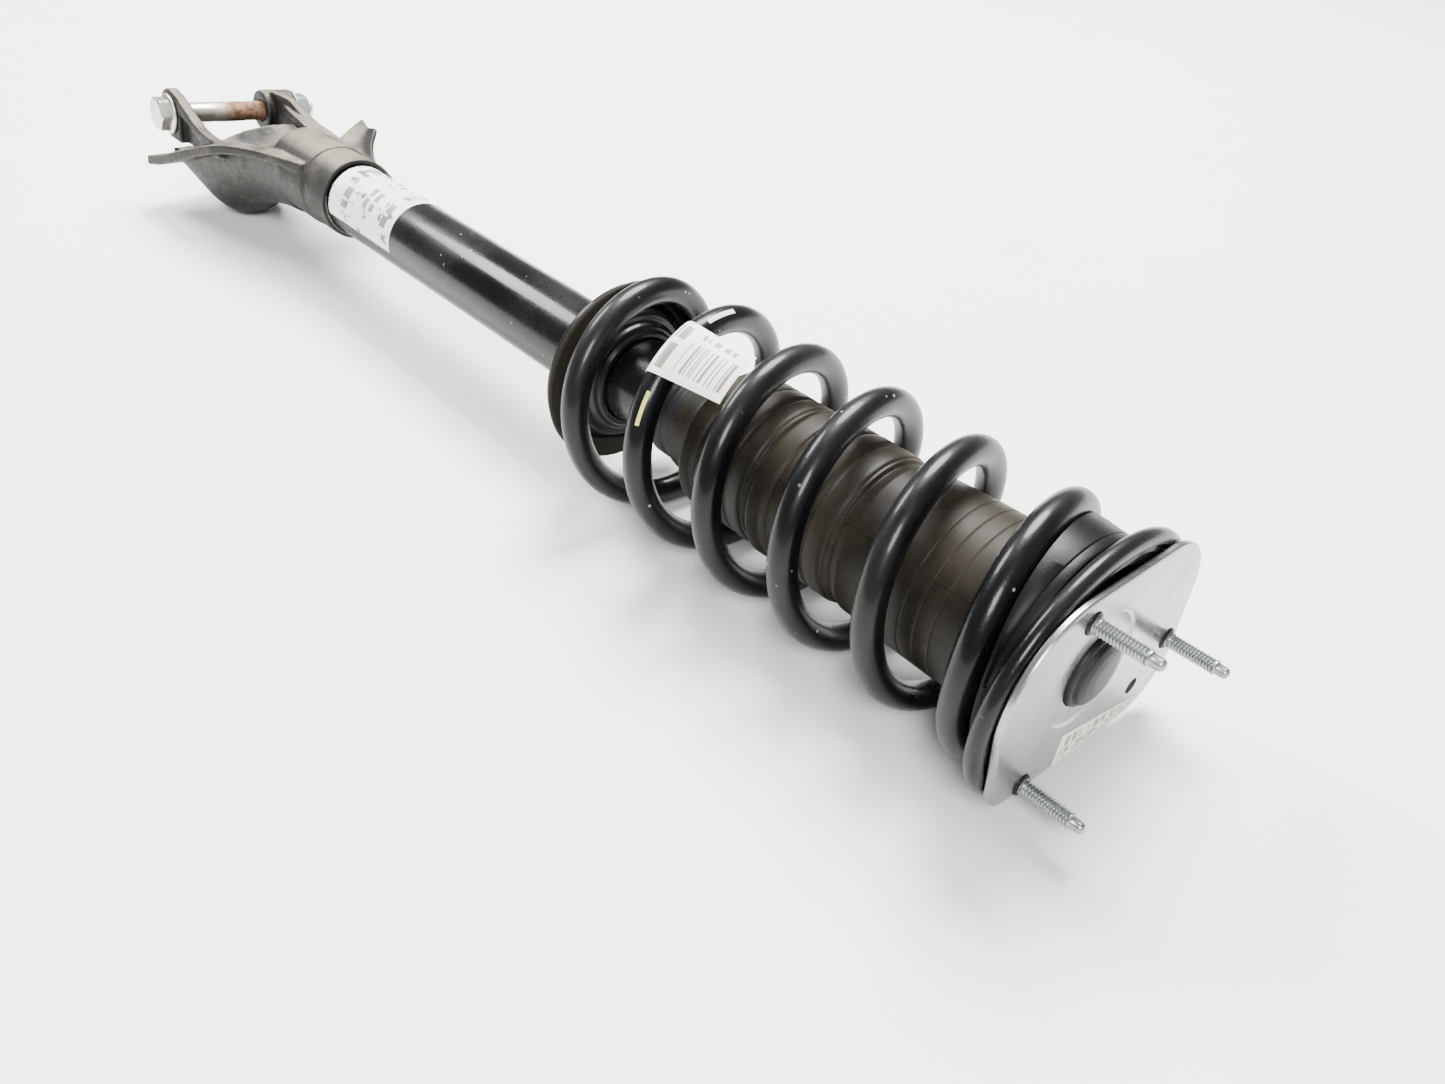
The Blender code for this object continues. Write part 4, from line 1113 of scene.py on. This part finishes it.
HEX_FLATS, HEX_CONE = 24.0, 0.577       # width across flats, and slope of the turned corners
WASHER_R, BOLT_PITCH, BOLT_EDGE = 16.0, 2.0, 28.0
THREAD_Y, BOLT_PAST_BOSS = 16.0, 19.0   # where the thread starts, and the bolt's length past the boss


def hex_mesh(y0, y1, cone_at_y0):
    """Hexagon along y, one end turned to a cone as on a real bolt head."""
    steps, half, length = 72, HEX_FLATS / 2, y1 - y0
    rows = []
    for s in (0.0, 0.5, 1.0, 1.6, 2.4, length / 2, length - 2.4, length - 1.6, length - 1.0,
              length - 0.5, length):
        cone = half - 0.4 + (s if cone_at_y0 else length - s) / HEX_CONE
        row = []
        for angle in (math.tau * k / steps for k in range(steps)):
            flat = (angle % (math.pi / 3)) - math.pi / 6
            r = min(half / math.cos(flat), cone, HEX_FLATS / math.sqrt(3.0) - 0.25)
            row.append((r * math.cos(angle), y0 + s, r * math.sin(angle)))
        rows.append(row)
    return rows_mesh(rows)


def along_bolt(bm):
    """Turn a mesh made along x so that it lies along the bolt."""
    bm.transform(Matrix.Rotation(math.radians(90.0), 4, "Z"))
    return bm


def turned(profile):
    """Spin (y, radius) points about the bolt's axis."""
    return along_bolt(lathe_mesh(profile, 72))


def build_bolt():
    """Flanged bolt with its thread, and the flanged nut."""
    face, boss, around = NEAR_EAR_Y[0], BOSS_Y[1], 56
    end, neck = boss + BOLT_PAST_BOSS, THREAD_Y + 1.0
    shank = [(face - 1.5, 0), (face - 1.5, BOLT_R), (THREAD_Y, BOLT_R), (neck, BOLT_R - 0.3), (neck, 0)]
    rows = thread_rows(THREAD_Y + 0.8, end - 2.5, BOLT_R - 0.05, 0.75, BOLT_PITCH, around, 5)
    rows += [ring_row(end - 1.2, BOLT_R - 1.0, around), ring_row(end, BOLT_R - 2.0, around)]
    flange = [(face - 3.8, 0), (face - 3.8, 12.2), (face - 2.2, 15.6), (face - 1.0, WASHER_R),
              (face - 0.3, 15.6), (face - 0.3, 0)]
    bolt = merged(turned(shank), along_bolt(rows_mesh(rows)), turned(fillet(flange, 0.4)),
                  hex_mesh(face - 11.5, face - 3.2, True))
    piece("cross_bolt", bolt, "bolt", "lower_body", FORK, BOLT_EDGE, ("fork_bolt",))
    washer = [(boss + 0.3, BOLT_R + 0.2), (boss + 0.3, 15.8), (boss + 1.4, WASHER_R), (boss + 3.0, 12.6),
              (boss + 3.0, BOLT_R + 0.2)]
    nut = merged(hex_mesh(boss + 2.6, boss + 13.5, False), turned(fillet(washer, 0.3)))
    nut = piece("cross_bolt_nut", nut, "nut", "lower_body", FORK, BOLT_EDGE, ("fork_nut",))
    boolean(nut, "DIFFERENCE", round_bar(boss - 10.0, boss + 30.0, BOLT_R + 0.15), FORK)
    shade(nut.data, BOLT_EDGE)


# ------------------------------------------------------------------ inner pieces keep their CAD shape

INNER_LOOKS = {
    "steel": ("base_valve", "bushing_sleeve", "piston", "piston_nut", "pressure_tube", "rod_guide",
              "rod_nut", "tube_base_cap"),
    "chrome": ("piston_rod",),
    "plastic": ("piston_ring", "rebound_stop"),
    "pad": ("mount_bushing", "rod_seal"),
}


def dress_inner_pieces():
    """Give each CAD piece that is shown as it is the look of its material."""
    for look, nodes in INNER_LOOKS.items():
        for name in nodes:
            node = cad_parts[name]
            node.data.materials.clear()
            node.data.materials.append(LOOKS[look])


# ------------------------------------------------------------------ stage

# name, size in metres, watts, place and colour
LAMPS = (("key", 1.5, 330.0, (-0.5, 1.1, 2.3), (1.0, 0.99, 0.97)),
         ("side", 1.1, 120.0, (1.7, -1.5, 2.1), (0.97, 0.98, 1.0)),
         ("back", 1.0, 100.0, (-1.8, -0.3, 1.8), (1.0, 1.0, 1.0)))
LAMP_AIM = Vector((0.0, 0.0, 0.07))
SKY_STRENGTH, FLOOR_HALF = 0.42, 6.0
CAMERA_FROM_BOLT = Vector((1.01488, -0.37397, 0.34795))
CAMERA_RIGHT, CAMERA_FORWARD = Vector((0.67452, 0.73658, 0.04961)), Vector((-0.55662, 0.55157, -0.62125))
CAMERA_LENS, CAMERA_SENSOR, CAMERA_REACH = 28.89, 36.0, 30.0


def build_stage():
    """Flat pale floor, an even white sky and three soft lamps."""
    floor = bmesh.new()
    bmesh.ops.create_grid(floor, x_segments=8, y_segments=8, size=FLOOR_HALF)
    mesh = bpy.data.meshes.new("floor")
    floor.to_mesh(mesh)
    floor.free()
    ground = bpy.data.objects.new("floor", mesh)
    m = Shader("floor_paint", Metallic=0.0, Roughness=0.75)
    m.set("Base Color", m.mix(m.remap(m.noise(3.0), 0.3, 0.7), (0.86, 0.855, 0.84), (0.82, 0.815, 0.8)))
    ground.data.materials.append(m.material)
    bpy.context.scene.collection.objects.link(ground)

    world = bpy.data.worlds.new("studio")
    bpy.context.scene.world = world
    world.use_nodes = True
    sky = world.node_tree.nodes["Background"]
    sky.inputs["Color"].default_value = (1.0, 1.0, 1.0, 1.0)
    sky.inputs["Strength"].default_value = SKY_STRENGTH
    for name, size, energy, spot, color in LAMPS:
        lamp = bpy.data.lights.new(name, "AREA")
        lamp.shape, lamp.size, lamp.energy, lamp.color = "DISK", size, energy, color
        made = bpy.data.objects.new(name, lamp)
        made.location = spot
        made.rotation_euler = (LAMP_AIM - Vector(spot)).to_track_quat("-Z", "Y").to_euler()
        bpy.context.scene.collection.objects.link(made)


def build_camera():
    """View along the strut from above its studded end."""
    lens = bpy.data.cameras.new("camera")
    lens.sensor_width, lens.lens, lens.clip_end = CAMERA_SENSOR, CAMERA_LENS, CAMERA_REACH
    camera = bpy.data.objects.new("camera", lens)
    up = CAMERA_RIGHT.cross(CAMERA_FORWARD)
    turn = Matrix((CAMERA_RIGHT, up, -CAMERA_FORWARD)).transposed()
    camera.matrix_world = Matrix.Translation(BOLT_POINT + CAMERA_FROM_BOLT) @ turn.to_4x4()
    bpy.context.scene.collection.objects.link(camera)
    bpy.context.scene.camera = camera


build_damper()
build_lower_seat()
build_coil()
build_coil_marks()
build_bumper()
build_boot()
build_rim()
build_isolator()
build_plate()
build_studs()
build_cap()
build_plate_label()
build_tube_label()
build_yoke()
build_bracket()
build_bolt()
dress_inner_pieces()
build_stage()
build_camera()
